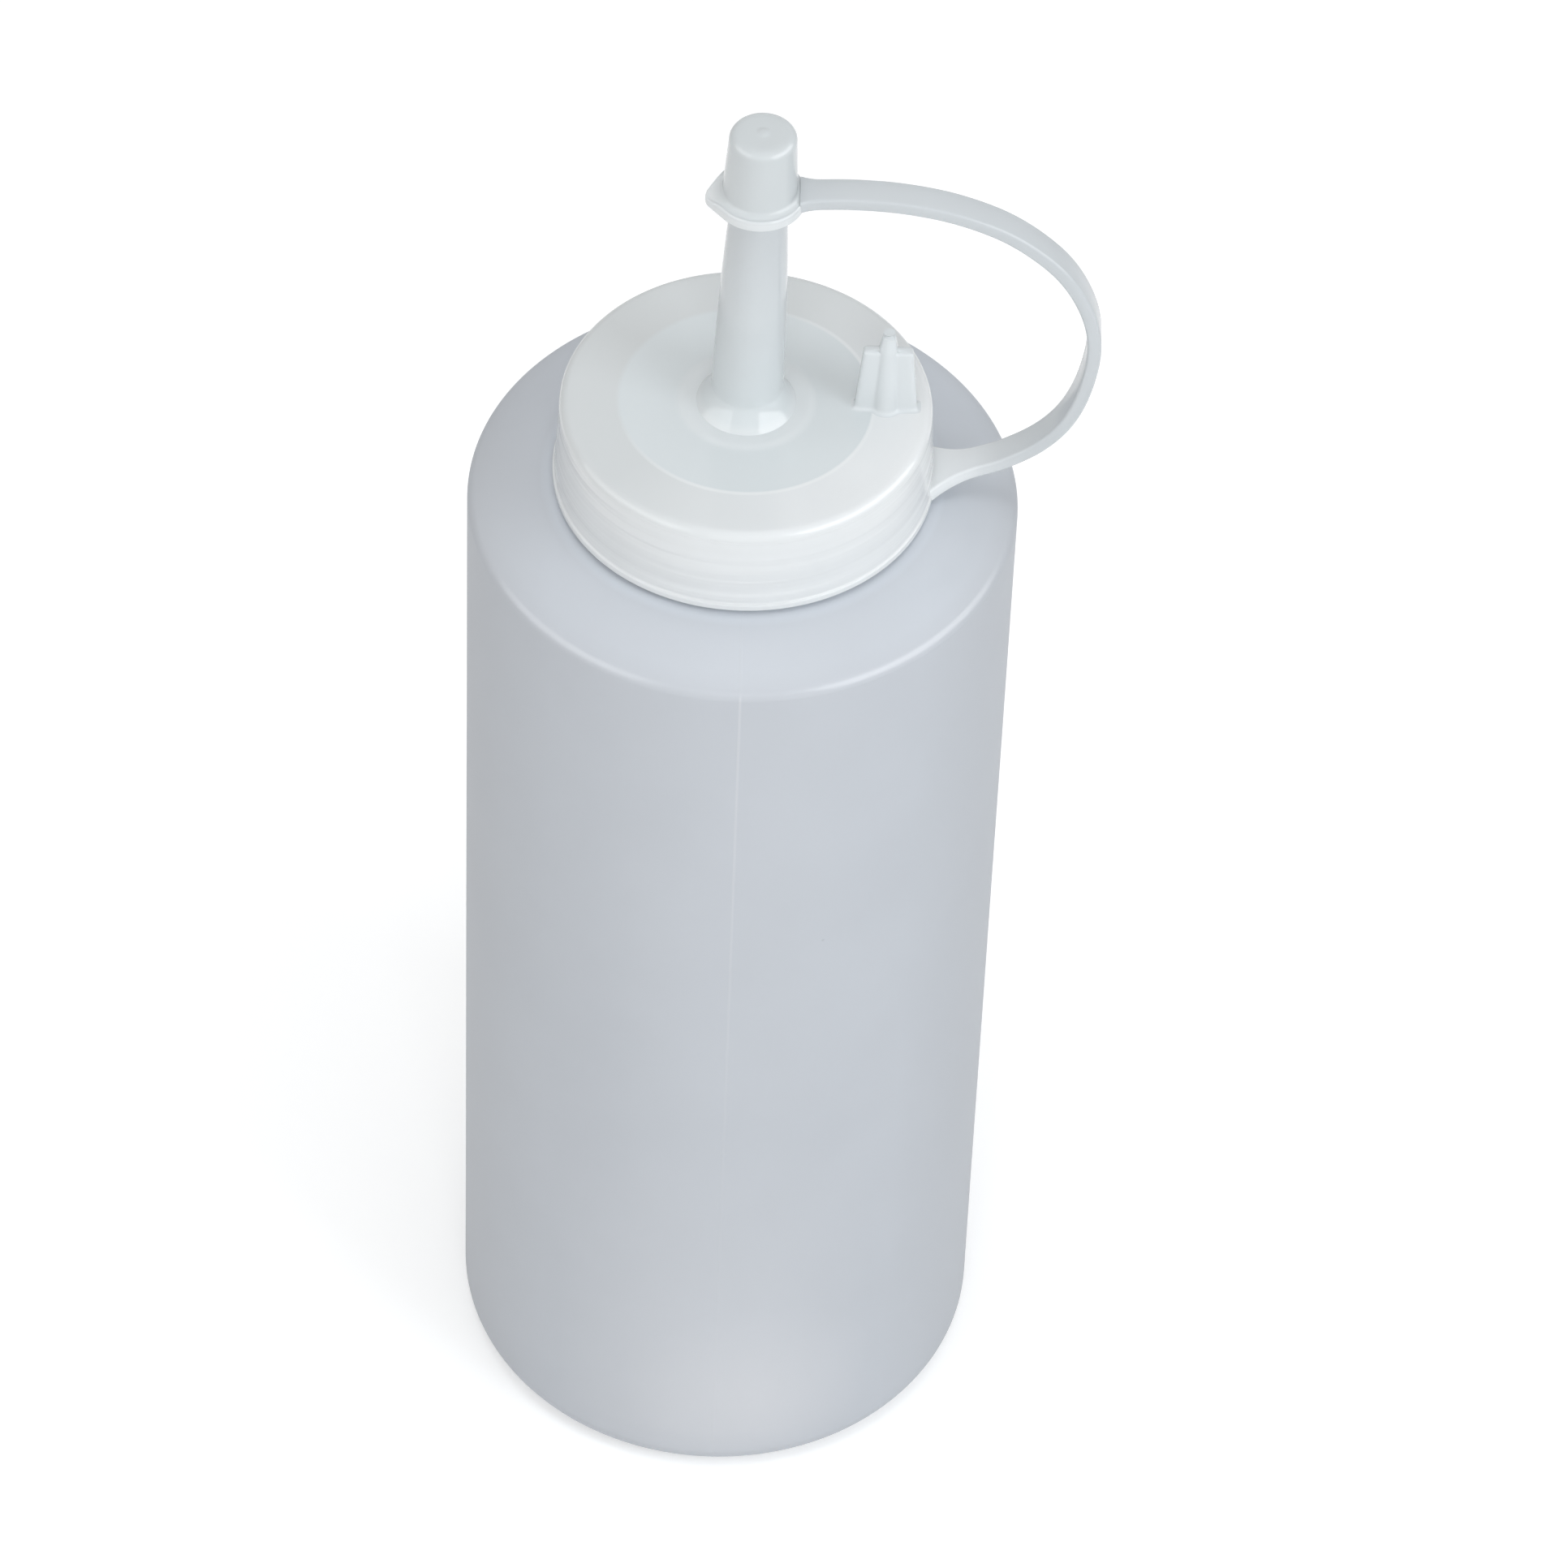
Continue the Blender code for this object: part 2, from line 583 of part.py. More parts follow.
def main():
    """Build the bottle's pieces and put each on the piece that carries it."""
    clear_scene()
    parts = new_collection(OBJECT_NAME)
    helpers = new_collection(OBJECT_NAME + "_cutters")
    bottle = make_bottle(parts, helpers)
    seal = make_seal_ring(parts)
    cap = make_screw_cap(parts, helpers)
    tip = make_tip_cap(parts, helpers)
    strap = make_strap(parts, helpers)
    hold(cap, tip)
    hold(cap, strap)
    hold(seal, cap)
    hold(bottle, seal)
    bpy.context.view_layer.update()


main()
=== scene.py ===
"""A milky squeeze bottle with a screw cap, a long cone nozzle and a tip cap on a strap.

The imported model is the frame, in metres, +Z up, with the bottle's axis on Z. Each new piece is a
surface worked out with numpy: a section turned about the axis, or carried along a path.
"""
import math

import bpy
import numpy as np
from mathutils import Matrix, Vector


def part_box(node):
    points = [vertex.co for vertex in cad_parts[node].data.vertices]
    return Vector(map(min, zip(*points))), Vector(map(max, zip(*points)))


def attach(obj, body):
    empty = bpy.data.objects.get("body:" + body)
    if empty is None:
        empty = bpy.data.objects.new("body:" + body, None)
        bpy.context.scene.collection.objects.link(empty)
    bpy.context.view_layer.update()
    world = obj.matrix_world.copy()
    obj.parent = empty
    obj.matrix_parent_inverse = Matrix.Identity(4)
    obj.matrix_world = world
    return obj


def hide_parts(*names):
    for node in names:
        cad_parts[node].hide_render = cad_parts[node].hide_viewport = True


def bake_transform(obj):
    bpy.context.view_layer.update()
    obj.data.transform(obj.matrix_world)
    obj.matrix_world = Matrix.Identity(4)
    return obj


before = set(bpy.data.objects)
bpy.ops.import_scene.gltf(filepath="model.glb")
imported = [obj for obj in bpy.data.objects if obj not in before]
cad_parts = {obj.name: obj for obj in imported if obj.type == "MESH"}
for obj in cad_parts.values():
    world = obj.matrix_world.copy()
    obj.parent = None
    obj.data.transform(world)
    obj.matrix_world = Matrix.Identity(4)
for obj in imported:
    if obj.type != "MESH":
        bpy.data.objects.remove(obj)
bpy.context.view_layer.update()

bl_info = {
    "name": "Squeeze bottle",
    "version": (1, 0, 0),
    "blender": (4, 5, 0),
    "location": "3D View > Sidebar > Squeeze bottle",
    "description": "Builds a milky squeeze bottle with a screw cap, nozzle and strapped tip cap",
    "category": "Add Mesh",
}

# Places that the frame gives, in metres
BOTTLE_LOW, BOTTLE_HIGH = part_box("bottle")
SEAL_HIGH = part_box("seal_ring")[1]
CAP_LOW, CAP_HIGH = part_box("screw_cap")
TIP_LOW, TIP_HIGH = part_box("tip_cap")
STRAP_LOW, STRAP_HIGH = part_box("strap")
GAP = 0.0003  # between two mouldings, and between the seal ring and the roof
SEAL_WIDTH = 0.0038
LIP_Z = BOTTLE_HIGH.z
SKIRT_Z = CAP_LOW.z
CROWN_Z = SKIRT_Z - GAP
ROOF_UNDER_Z = SEAL_HIGH.z + GAP
NOZZLE_TOP_Z = CAP_HIGH.z
BEAD_R = CAP_HIGH.x
SEAL_BORE_R = SEAL_HIGH.x - SEAL_WIDTH
FLANGE_Z = TIP_LOW.z
TIP_TOP_Z = TIP_HIGH.z

QUARTER = math.pi / 2
SHARP_ANGLE = math.radians(42.0)
NECK_STEP = 0.00012  # between two points of the neck's outline, fine enough for its thread
SKIRT_STEP = 0.00014  # the same on the cap's skirt and threaded bore
FLARE_POWER = 1.3  # how fast the nozzle's foot widens
BAR_POWER, UNION_POWER = 7, 12  # how square the peg's blades and its pin's joins with them are
FRONT_RIGHT = (0.8, -0.6, 0.0)  # where the light comes in that whitens the cap's roof
LIGHT_POOL = (0.005, -0.030, 0.014)  # middle of the light patch low on the bottle's front
PARTING_NORMAL = (1.0, 0.0175, 0.0)  # of the mould's parting plane, turned by one degree
LAMP_AIM = Vector((0.0, 0.0, 0.12))
LAMP_DISTANCE = 1.1
WHITE = (1.0, 1.0, 1.0)
# Numbers of the Mix node's colour sockets, because sockets of other kinds have the same names
MIX_SHARE, MIX_FROM, MIX_TO, MIXED = 0, 6, 7, 2

# The strap's loop, from the cap's rim round to the tip cap's flange. Each point is a share of the
# way out from the rim (or the flange) to the loop's farthest point, and of the height between them.
STRAP_LOWER_SHARES = ((0.000, 0.000), (0.261, 0.042), (0.466, 0.081), (0.683, 0.146),
                      (0.845, 0.232), (0.950, 0.347), (1.000, 0.491))
STRAP_UPPER_SHARES = ((0.981, 0.611), (0.915, 0.731), (0.818, 0.826), (0.677, 0.912),
                      (0.505, 0.971), (0.329, 1.001), (0.160, 1.009), (0.000, 1.003))


def setting(description, default, **kind):
    """A number that a user can set, for named() to make a property of."""
    return bpy.props.FloatProperty, {"description": description, "default": default, **kind}


def length(description, default):
    """A length that a user can set."""
    return setting(description, default, min=0.0, precision=5, unit="LENGTH")


def turn(description, degrees):
    """An angle that a user can set, given in degrees."""
    return setting(description, math.radians(degrees), subtype="ANGLE")


def share(description, default):
    """A share from 0 to 1 that a user can set."""
    return setting(description, default, min=0.0, max=1.0, subtype="FACTOR")


def power(description, default):
    """A lamp's power in watts that a user can set."""
    return setting(description, default, min=0.0, unit="POWER")


def colour(description, default):
    """A colour that a user can set, as linear red, green and blue."""
    look = {"size": 3, "min": 0.0, "max": 1.0, "subtype": "COLOR"}
    return bpy.props.FloatVectorProperty, {"description": description, "default": default, **look}


def named(group):
    """Make a group's values properties, each with its own identifier in plain words as its name."""
    for identifier, (kind, values) in group.__annotations__.items():
        plain = identifier.replace("_", " ").capitalize()
        group.__annotations__[identifier] = kind(name=plain, **values)
    return group


@named
class BottleSizes(bpy.types.PropertyGroup):
    """Sizes of the blow moulded bottle."""
    body_diameter: length("Outside of the body", BOTTLE_HIGH.x - BOTTLE_LOW.x)
    wall: length("Thickness of the body's wall", 0.0011)
    base_thickness: length("Thickness of the base", 0.0016)
    heel_radius: length("Round between the wall and the base", 0.0033)
    heel_inner_radius: length("The same round inside", 0.0025)
    edge_radius: length("Round between the wall and the shoulder", 0.0015)
    edge_inner_radius: length("The same round inside", 0.0010)
    shoulder_tilt: turn("Slope of the shoulder at the edge", 25.0)
    shoulder_wall: length("Thickness of the shoulder", 0.0012)
    neck_diameter: length("Outside of the neck under its thread", 0.0348)
    neck_wall: length("Thickness of the neck's wall", 0.0020)
    neck_foot_radius: length("Round between shoulder and neck", 0.0008)
    lip_round: length("Round on the lip's edges", 0.0003)
    base_recess: length("How far the base is drawn in", 0.0004)
    base_rim: length("Width of the rim that the bottle stands on", 0.0035)
    parting_height: length("Ridge where the mould's halves met", 0.00002)
    parting_width: length("Half width of that ridge", 0.00014)
    parting_angle: turn("Where the ridge lies, from the front", 1.0)
    seam_height: length("Pinched seam across the base", 0.00028)
    seam_width: length("Half width of that seam", 0.0004)
    wall_ripple: length("Depth of the wall's slow waves", 0.000015)


@named
class ThreadSizes(bpy.types.PropertyGroup):
    """Sizes of the neck's thread and of the cap's thread that runs between its turns."""
    lead: length("Rise in one turn", 0.00423)
    neck_start: length("Height of the neck thread's start above the shoulder", 0.0013)
    neck_turns: setting("Turns of the neck's thread", 1.5)
    neck_depth: length("How far the neck's thread stands out", 0.0012)
    neck_root: length("Width at the neck thread's foot", 0.0014)
    neck_crest: length("Width at the neck thread's top", 0.0007)
    cap_turns: setting("Turns of the cap's thread", 1.25)
    cap_depth: length("How far the cap's thread stands in", 0.00095)
    cap_root: length("Width at the cap thread's foot", 0.0013)
    cap_crest: length("Width at the cap thread's top", 0.0006)
    fade: turn("Turn over which a thread's end fades out", 24.0)
    clearance: length("Room between the neck's thread and the cap", 0.00035)


@named
class CapSizes(bpy.types.PropertyGroup):
    """Sizes of the screw cap with its nozzle."""
    wall: length("Thickness of the skirt", 0.00115)
    roof: length("Thickness of the roof", 0.0011)
    edge_radius: length("Round between the roof and the skirt", 0.0010)
    flare: length("How much the skirt widens downwards", 0.00045)
    bead_height: length("Height of the rim's bead", 0.0009)
    bead_proud: length("How far the bead stands out", 0.0002)
    sink: length("Mark that the inner thread leaves on the outside", 0.00006)
    foot_diameter: length("Nozzle's outside at its foot", 0.00776)
    tip_diameter: length("Nozzle's outside at its tip", 0.0049)
    nozzle_wall: length("Thickness of the nozzle", 0.00115)
    tip_round: length("Round on the nozzle's end", 0.0002)
    fillet_width: length("Flare at the nozzle's foot, across", 0.0015)
    fillet_height: length("The same flare, upwards", 0.0027)
    boss_diameter: length("Low boss round the nozzle's foot", 0.0154)
    boss_height: length("Height of that boss", 0.00012)
    boss_ease: length("Width over which the boss falls to the roof", 0.0012)
    lean: share("How far the nozzle leans off the axis for each unit of height", 0.02)


@named
class PegSizes(bpy.types.PropertyGroup):
    """Sizes of the parking peg: a pin with a blunt point, between two blades."""
    offset: length("Distance from the bottle's axis", 0.0150)
    height: length("Height of the pin's point above the roof", 0.0112)
    point_height: length("How far the point stands above the blades", 0.0026)
    point_diameter: length("Across the blunt point", 0.0012)
    pin_top: length("Pin's diameter level with the blades' tops", 0.0021)
    pin_foot: length("Pin's diameter at the roof", 0.0029)
    blade_top: length("Span of both blades at their tops", 0.0053)
    blade_foot: length("Span of both blades at the roof", 0.0068)
    blade: length("Thickness of the blades", 0.0014)
    round_edge: length("Round on the upper edges", 0.00035)
    fillet: length("Fillet at the foot", 0.0004)


@named
class TipSizes(bpy.types.PropertyGroup):
    """Sizes of the tip cap and its flange."""
    top_diameter: length("Outside at the closed end", 0.00716)
    foot_diameter: length("Outside above the flange", 0.0079)
    edge_radius: length("Round on the closed end", 0.0010)
    crown: length("How far the closed end domes up", 0.00005)
    flange_diameter: length("Outside of the flange", 0.0098)
    flange_thickness: length("Thickness of the flange", 0.0016)
    flange_round: length("Round on the flange's upper edge", 0.0004)
    foot_round: length("Round on the flange's lower edge", 0.00012)
    tab_reach: length("How far the thumb tab reaches from the axis", 0.0057)
    tab_radius: length("Round at the thumb tab's end", 0.0017)
    tab_turn: turn("How far the thumb tab is turned towards the front", 5.0)
    tab_thin: share("Share of the thickness that the tab loses at its end", 0.45)
    nib_height: length("Height of the moulding nib on top", 0.00012)
    nib_radius: length("Radius of the moulding nib", 0.0006)


@named
class StrapSizes(bpy.types.PropertyGroup):
    """Sizes of the strap."""
    width: length("Width of the strap", 0.0034)
    thickness: length("Thickness of the strap", 0.0015)
    corner: length("Round on the strap's edges", 0.0003)
    root_flare: length("Extra width where it leaves the rim", 0.0040)
    root_length: length("Length of that flare", 0.0055)
    tip_flare: length("Extra width where it meets the flange", 0.0009)
    tip_length: length("Length of that flare", 0.0022)
    rooting: length("How deep its ends run into the cap and the flange", 0.0006)


@named
class PlasticLook(bpy.types.PropertyGroup):
    """Colours and finish of the milky plastic."""
    bottle_colour: colour("Milky plastic of the bottle", (0.645, 0.672, 0.715))
    # Painted light low on the bottle's front; the same colour also lightens the parting line
    light_pool_and_line_colour: colour("The same near the base", (0.765, 0.775, 0.805))
    # Painted light on the shoulder: lit from above and from the right, and beside the cap to lift its
    # shadow
    lit_shoulder_colour: colour("The same on the shoulder", (0.72, 0.76, 0.815))
    # Painted shade at the bottle's sides
    shaded_side_colour: colour("The same at the sides", (0.565, 0.58, 0.605))
    cap_colour: colour("Milky plastic of the screw cap", (0.88, 0.90, 0.91))
    # Painted shade on the roof's far side, away from the light
    shaded_far_colour: colour("The same on the roof's far left", (0.735, 0.76, 0.765))
    roof_colour: colour("The same on the roof and the nozzle", (0.765, 0.81, 0.825))
    speck_colour: colour("Small specks in the bottle's plastic", (0.40, 0.42, 0.44))
    # Painted light on the cap's lit right side, and on the lit part of the line where the neck's edge
    # shows
    lit_side_and_edge_colour: colour("Where the neck's edge shows", (0.97, 0.98, 0.98))
    peg_colour: colour("The same on the parking peg", (0.80, 0.835, 0.85))
    tip_colour: colour("The same on the tip cap", (0.71, 0.745, 0.757))
    strap_colour: colour("The same on the strap", (0.66, 0.69, 0.71))
    foam_colour: colour("Foam of the seal ring", (0.86, 0.87, 0.88))
    bottle_clear: share("Share of light that passes the bottle", 0.22)
    cap_clear: share("Share of light that passes the caps", 0.2)
    bottle_gloss: share("Strength of the bottle's sheen", 0.5)
    cap_gloss: share("Strength of the caps' sheen", 0.5)


@named
class StageLook(bpy.types.PropertyGroup):
    """The floor, the lamps and the camera."""
    floor_colour: colour("Colour of the floor", (0.80, 0.80, 0.80))
    floor_lift: share("White added to the floor as the camera sees it", 0.33)
    room_light: setting("Strength of the even light", 0.585)
    left_power: power("Power of the left lamp", 0.8)
    right_power: power("Power of the right lamp", 3.25)
    top_power: power("Power of the lamp above", 2.5)
    front_power: power("Power of the lamp in front", 3.1)
    left_card: power("Power of the left mirrored card", 6.5)
    right_card: power("Power of the right mirrored card", 13.0)
    lens: setting("Focal length in millimetres", 198.81, unit="CAMERA")


def arc(centre, radii, start, end, steps):
    """Points of an arc in the (radius, height) half plane: centre + radii (cos, sin)."""
    angles = np.linspace(start, end, steps + 1)
    return np.array(centre) + radii * np.stack([np.cos(angles), np.sin(angles)], axis=1)


def all_round(count):
    """So many angles of a full turn, evenly spaced."""
    return np.linspace(0.0, math.tau, count, endpoint=False)


def joined(runs):
    """An outline's runs as one outline, and for each run a column that is true on its points."""
    which = np.repeat(np.arange(len(runs)), [len(run) for run in runs])[:, None]
    return np.vstack(runs), [which == number for number in range(len(runs))]


def dense(points, step):
    """The same outline with more points: each side is shared out so that none is over a step."""
    points = np.asarray(points, dtype=float)
    sides = np.diff(points, axis=0)
    counts = np.maximum(1, np.ceil(np.linalg.norm(sides, axis=1) / step)).astype(int)
    first = np.repeat(np.cumsum(counts) - counts, counts)
    shares = (np.arange(counts.sum()) - first) / np.repeat(counts, counts)
    filled = np.repeat(points[:-1], counts, axis=0) + np.repeat(sides, counts, axis=0) * shares[:, None]
    return np.vstack([filled, points[-1:]])


def smooth_share(value):
    """A share from 0 to 1 that starts and ends level: 3 v squared less 2 v cubed."""
    value = np.clip(value, 0.0, 1.0)
    return value * value * (3 - 2 * value)


def outward(outline):
    """Outward direction at each point of an outline that runs down its outer side."""
    along = np.gradient(outline, axis=0)
    along /= np.maximum(np.linalg.norm(along, axis=1), 1e-12)[:, None]
    return np.stack([-along[:, 1], along[:, 0]], axis=1)


def turned_grid(outline, angles, lift=0.0):
    """Turn an outline about Z: x = r cos a and y = r sin a, with r and z first moved along the
    outline's outward direction by lift, which may change with the point and the angle."""
    normal = outward(outline)
    radius = outline[:, :1] + normal[:, :1] * lift
    height = outline[:, 1:] + normal[:, 1:] * lift
    radius, height = np.broadcast_arrays(radius + 0 * angles, height + 0 * angles)
    return np.stack([radius * np.cos(angles), radius * np.sin(angles), height], axis=2)


def skin(name, grid, poles=2):
    """A mesh over a grid of points. Rows follow the outline, columns go round and meet. A pole is
    the mean of an end row: two close both ends, one closes the first, as a disc's middle, and
    with none the rows meet too, as a ring."""
    rows, columns = grid.shape[:2]
    index = np.arange(rows * columns).reshape(rows, columns)
    here, there = (index[:-1], index[1:]) if poles else (index, np.roll(index, -1, axis=0))
    quads = np.stack([here, there, np.roll(there, -1, axis=1), np.roll(here, -1, axis=1)], axis=2)
    points = grid.reshape(-1, 3).tolist()
    faces = quads.reshape(-1, 4).tolist()
    pole = np.full(columns, rows * columns)
    if poles:
        points.append(grid[0].mean(axis=0).tolist())
        faces += np.stack([pole, index[0], np.roll(index[0], -1)], axis=1).tolist()
    if poles == 2:
        points.append(grid[-1].mean(axis=0).tolist())
        faces += np.stack([pole + 1, np.roll(index[-1], -1), index[-1]], axis=1).tolist()
    mesh = bpy.data.meshes.new(name)
    mesh.from_pydata(points, [], faces)
    if mesh.validate():
        raise RuntimeError(f"the surface of {name} has faces that don't hold")
    mesh.shade_smooth()
    mesh.set_sharp_from_angle(angle=SHARP_ANGLE)
    return mesh


def add_piece(name, grid, material, node, body=None, poles=2):
    """Make an object of a grid, hide the node that it stands in for, and hang it on what it rides on.
    """
    mesh = skin(name, grid, poles)
    mesh.materials.append(material)
    piece = bpy.data.objects.new(name, mesh)
    bpy.context.scene.collection.objects.link(piece)
    if body is not None:
        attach(piece, body)
    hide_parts(node)
    return piece


def thread_height(angles, heights, start_z, start_angle, thread, turns, root, crest):
    """How far a thread's ridge stands at each height and angle, as a share of its depth: level
    on the crest, falling to nothing over its flank, and fading out at both ends. The ridge's
    middle is at start_z + lead x turn."""
    best = np.zeros((len(heights), len(angles)))
    for lap in range(math.ceil(turns) + 1):
        turn_here = np.mod(angles - start_angle, math.tau) / math.tau + lap
        to_end = np.minimum(turn_here, turns - turn_here) * math.tau
        off = np.abs(heights[:, None] - start_z - thread.lead * turn_here)
        flank = smooth_share((root / 2 - off) / ((root - crest) / 2))
        best = np.maximum(best, flank * smooth_share(to_end / thread.fade))
    return best


def principled(name):
    """A new material with its node tree and its shader."""
    material = bpy.data.materials.new(name)
    material.use_nodes = True
    tree = material.node_tree
    return material, tree, tree.nodes["Principled BSDF"]


def fill(tree, node, inputs):
    """Give a node its inputs by name or number: sockets are linked, and plain values are set."""
    for name, value in inputs.items():
        if isinstance(value, bpy.types.NodeSocket):
            tree.links.new(value, node.inputs[name])
        else:
            node.inputs[name].default_value = value


def add_node(tree, kind, inputs=None, **settings):
    """Add a node of a kind with its settings and inputs, and give back its outputs."""
    node = tree.nodes.new(kind)
    for name, value in settings.items():
        setattr(node, name, value)
    fill(tree, node, inputs or {})
    return node.outputs


def noise(tree, place, scale, detail):
    """A noise texture read at the given coordinates."""
    inputs = {"Vector": place, "Scale": scale, "Detail": detail}
    return add_node(tree, "ShaderNodeTexNoise", inputs)["Fac"]


def remap(tree, value, low, high, to_low=0.0, to_high=1.0):
    """Carry a value from one range to another, and hold it there at both ends."""
    inputs = {"Value": value, "From Min": low, "From Max": high, "To Min": to_low, "To Max": to_high}
    return add_node(tree, "ShaderNodeMapRange", inputs)["Result"]


def towards(tree, tone, *steps):
    """Move a tone, a socket or a plain colour, towards a plain colour by a share, step by step."""
    for share_here, colour_there in steps:
        if not isinstance(tone, bpy.types.NodeSocket):
            tone = (*tone, 1.0)
        inputs = {MIX_SHARE: share_here, MIX_FROM: tone, MIX_TO: (*colour_there, 1.0)}
        tone = add_node(tree, "ShaderNodeMix", inputs, data_type="RGBA")[MIXED]
    return tone


def worked(tree, operation, *values):
    """One step of arithmetic on sockets or plain numbers."""
    return add_node(tree, "ShaderNodeMath", dict(enumerate(values)), operation=operation)["Value"]


def times(tree, product, *factors):
    """Sockets or plain numbers multiplied together."""
    for factor in factors:
        product = worked(tree, "MULTIPLY", product, factor)
    return product


def measured(tree, place, operation, other, result="Value"):
    """A distance from a point, how far a place reaches along a direction, or a place stretched."""
    return add_node(tree, "ShaderNodeVectorMath", {0: place, 1: other}, operation=operation)[result]


def axes(tree, place):
    """A place's x, y and z."""
    return add_node(tree, "ShaderNodeSeparateXYZ", {"Vector": place})


def bumped(tree, height, strength, distance, below=None):
    """A normal tilted by a height, on top of the normal below it."""
    inputs = {"Strength": strength, "Distance": distance, "Height": height}
    if below is not None:
        inputs["Normal"] = below
    return add_node(tree, "ShaderNodeBump", inputs)["Normal"]


def milky_plastic(name, base, clear, gloss, roughness, toned=None, shaped=None):
    """Milky polyethylene: soft light through it, and a satin skin with slow waves. toned changes
    the colour from place to place, shaped tilts the normal."""
    material, tree, shader = principled(name)
    place = add_node(tree, "ShaderNodeTexCoord")["Object"]
    clouds = remap(tree, noise(tree, place, 60.0, 2.0), 0.3, 0.7, 0.0, 1.0)
    tone = towards(tree, [0.97 * part for part in base], (clouds, base))
    waves = noise(tree, place, 90.0, 1.0)
    fill(tree, shader, {
        "Base Color": toned(tree, place, tone) if toned else tone,
        "Normal": bumped(tree, waves, 0.2, 0.0003, shaped(tree, place) if shaped else None),
        "Roughness": roughness,
        "IOR": 1.5,
        "Specular IOR Level": gloss,
        "Transmission Weight": clear,
    })
    return material


def foam(name, base):
    """Closed foam: matt, with fine cells."""
    material, tree, shader = principled(name)
    place = add_node(tree, "ShaderNodeTexCoord")["Object"]
    inputs = {"Vector": place, "Scale": 3500.0}
    cells = add_node(tree, "ShaderNodeTexVoronoi", inputs)["Distance"]
    fill(tree, shader, {
        "Base Color": towards(tree, [0.88 * part for part in base], (cells, base)),
        "Normal": bumped(tree, cells, 0.4, 0.0001),
        "Roughness": 0.75,
    })
    return material


def cap_plastic(look):
    """The plastic of the screw cap, with fine marks round its skirt. It looks whiter on the skirt,
    and on the roof beyond the seal ring's bore, where the ring and the neck are behind it.
    Painted light whitens its right side, and painted shade darkens the roof's far left. A white
    line shows the bore's edge, made brighter towards the light with painted light, and a painted
    reflection whitens the boss. The nozzle darkens as it gets thinner."""
    def neck_behind_and_painted_light(tree, place, tone):
        x, y, z = axes(tree, place)
        radius = worked(tree, "POWER", worked(tree, "ADD", times(tree, x, x), times(tree, y, y)), 0.5)
        facing = worked(tree, "DIVIDE", measured(tree, place, "DOT_PRODUCT", FRONT_RIGHT), radius)
        above = remap(tree, z, ROOF_UNDER_Z, ROOF_UNDER_Z + 0.0008)
        # Painted light: the cap's right side is whitened, as if lit by the lamp on the right
        right = remap(tree, x, 0.008, 0.020, 0.0, 0.55)
        # Painted shade: the roof darkens on the side facing away from the light at the front right
        away = remap(tree, facing, -0.2, 0.85, 1.0, 0.0)
        inside = remap(tree, radius, SEAL_BORE_R - 0.0003, SEAL_BORE_R + 0.0003, 1.0, 0.0)
        # Painted reflection: the boss round the nozzle's foot is whitened like the nozzle's light
        # mirrored in the roof
        boss = remap(tree, radius, 0.0071, 0.0078, 1.0, 0.0)
        low = remap(tree, z, NOZZLE_TOP_Z - 0.0372, NOZZLE_TOP_Z - 0.0366, 0.35, 0.0)
        # The neck's edge showing through the roof, made brighter on the side towards the light as
        # painted light
        edge_off = worked(tree, "ABSOLUTE", worked(tree, "SUBTRACT", radius, SEAL_BORE_R))
        edge = remap(tree, edge_off, 0.00010, 0.00032, 0.6, 0.0)
        edge_lit = remap(tree, facing, -0.6, 0.4)
        thin = remap(tree, z, NOZZLE_TOP_Z - 0.035, NOZZLE_TOP_Z - 0.010)
        return towards(tree, tone,
                       (right, look.lit_side_and_edge_colour),
                       (times(tree, away, above), look.shaded_far_colour),
                       (times(tree, inside, above), look.roof_colour),
                       (times(tree, boss, low, above), look.cap_colour),
                       (times(tree, edge, above, edge_lit), look.lit_side_and_edge_colour),
                       (thin, look.strap_colour))

    def turning_marks(tree, place):
        stretched = measured(tree, place, "MULTIPLY", (30.0, 30.0, 1200.0), "Vector")
        z = axes(tree, place)["Z"]
        below = remap(tree, z, ROOF_UNDER_Z - 0.0001, ROOF_UNDER_Z, 1.0, 0.0)
        return bumped(tree, times(tree, noise(tree, stretched, 1.0, 1.0), below), 0.8, 0.0001)

    return milky_plastic("cap_milky_plastic", look.cap_colour, look.cap_clear, look.cap_gloss, 0.10,
                         neck_behind_and_painted_light, turning_marks)


def peg_plastic(look):
    """The same plastic on the parking peg."""
    return milky_plastic("peg_milky_plastic", look.peg_colour, look.cap_clear, look.cap_gloss, 0.15)


def strap_plastic(look):
    """The same plastic where it is thin: the strap. Painted light makes it lighter at its root by the
    cap, and it has less sheen."""
    def painted_light_at_the_root(tree, place, tone):
        x, _, z = axes(tree, place)
        # Painted light near the strap's root by the cap
        low = remap(tree, z, STRAP_LOW.z + 0.007, STRAP_LOW.z + 0.002)
        near = remap(tree, x, BEAD_R + 0.011, BEAD_R + 0.004)
        return towards(tree, tone, (times(tree, low, near), look.cap_colour))

    return milky_plastic("strap_milky_plastic", look.strap_colour, look.cap_clear,
                         0.6 * look.cap_gloss, 0.18, painted_light_at_the_root)


def tip_plastic(look):
    """The same plastic on the tip cap. A painted highlight makes it lighter at its foot, on the flange.
    """
    def painted_flange_highlight(tree, place, tone):
        z = axes(tree, place)["Z"]
        # Painted highlight on the flange
        foot = remap(tree, z, FLANGE_Z + 0.0016, FLANGE_Z + 0.0008, 0.0, 0.8)
        return towards(tree, tone, (foot, look.cap_colour))

    return milky_plastic("tip_milky_plastic", look.tip_colour, look.cap_clear, look.cap_gloss, 0.12,
                         painted_flange_highlight)


def specks(tree, place):
    """A few dark specks: the cores of rare cells."""
    cells = add_node(tree, "ShaderNodeTexVoronoi", {"Vector": place, "Scale": 90.0})
    red = add_node(tree, "ShaderNodeSeparateColor", {"Color": cells["Color"]})["Red"]
    core = remap(tree, cells["Distance"], 0.014, 0.026, 0.4, 0.0)
    return times(tree, worked(tree, "GREATER_THAN", red, 0.86), core)


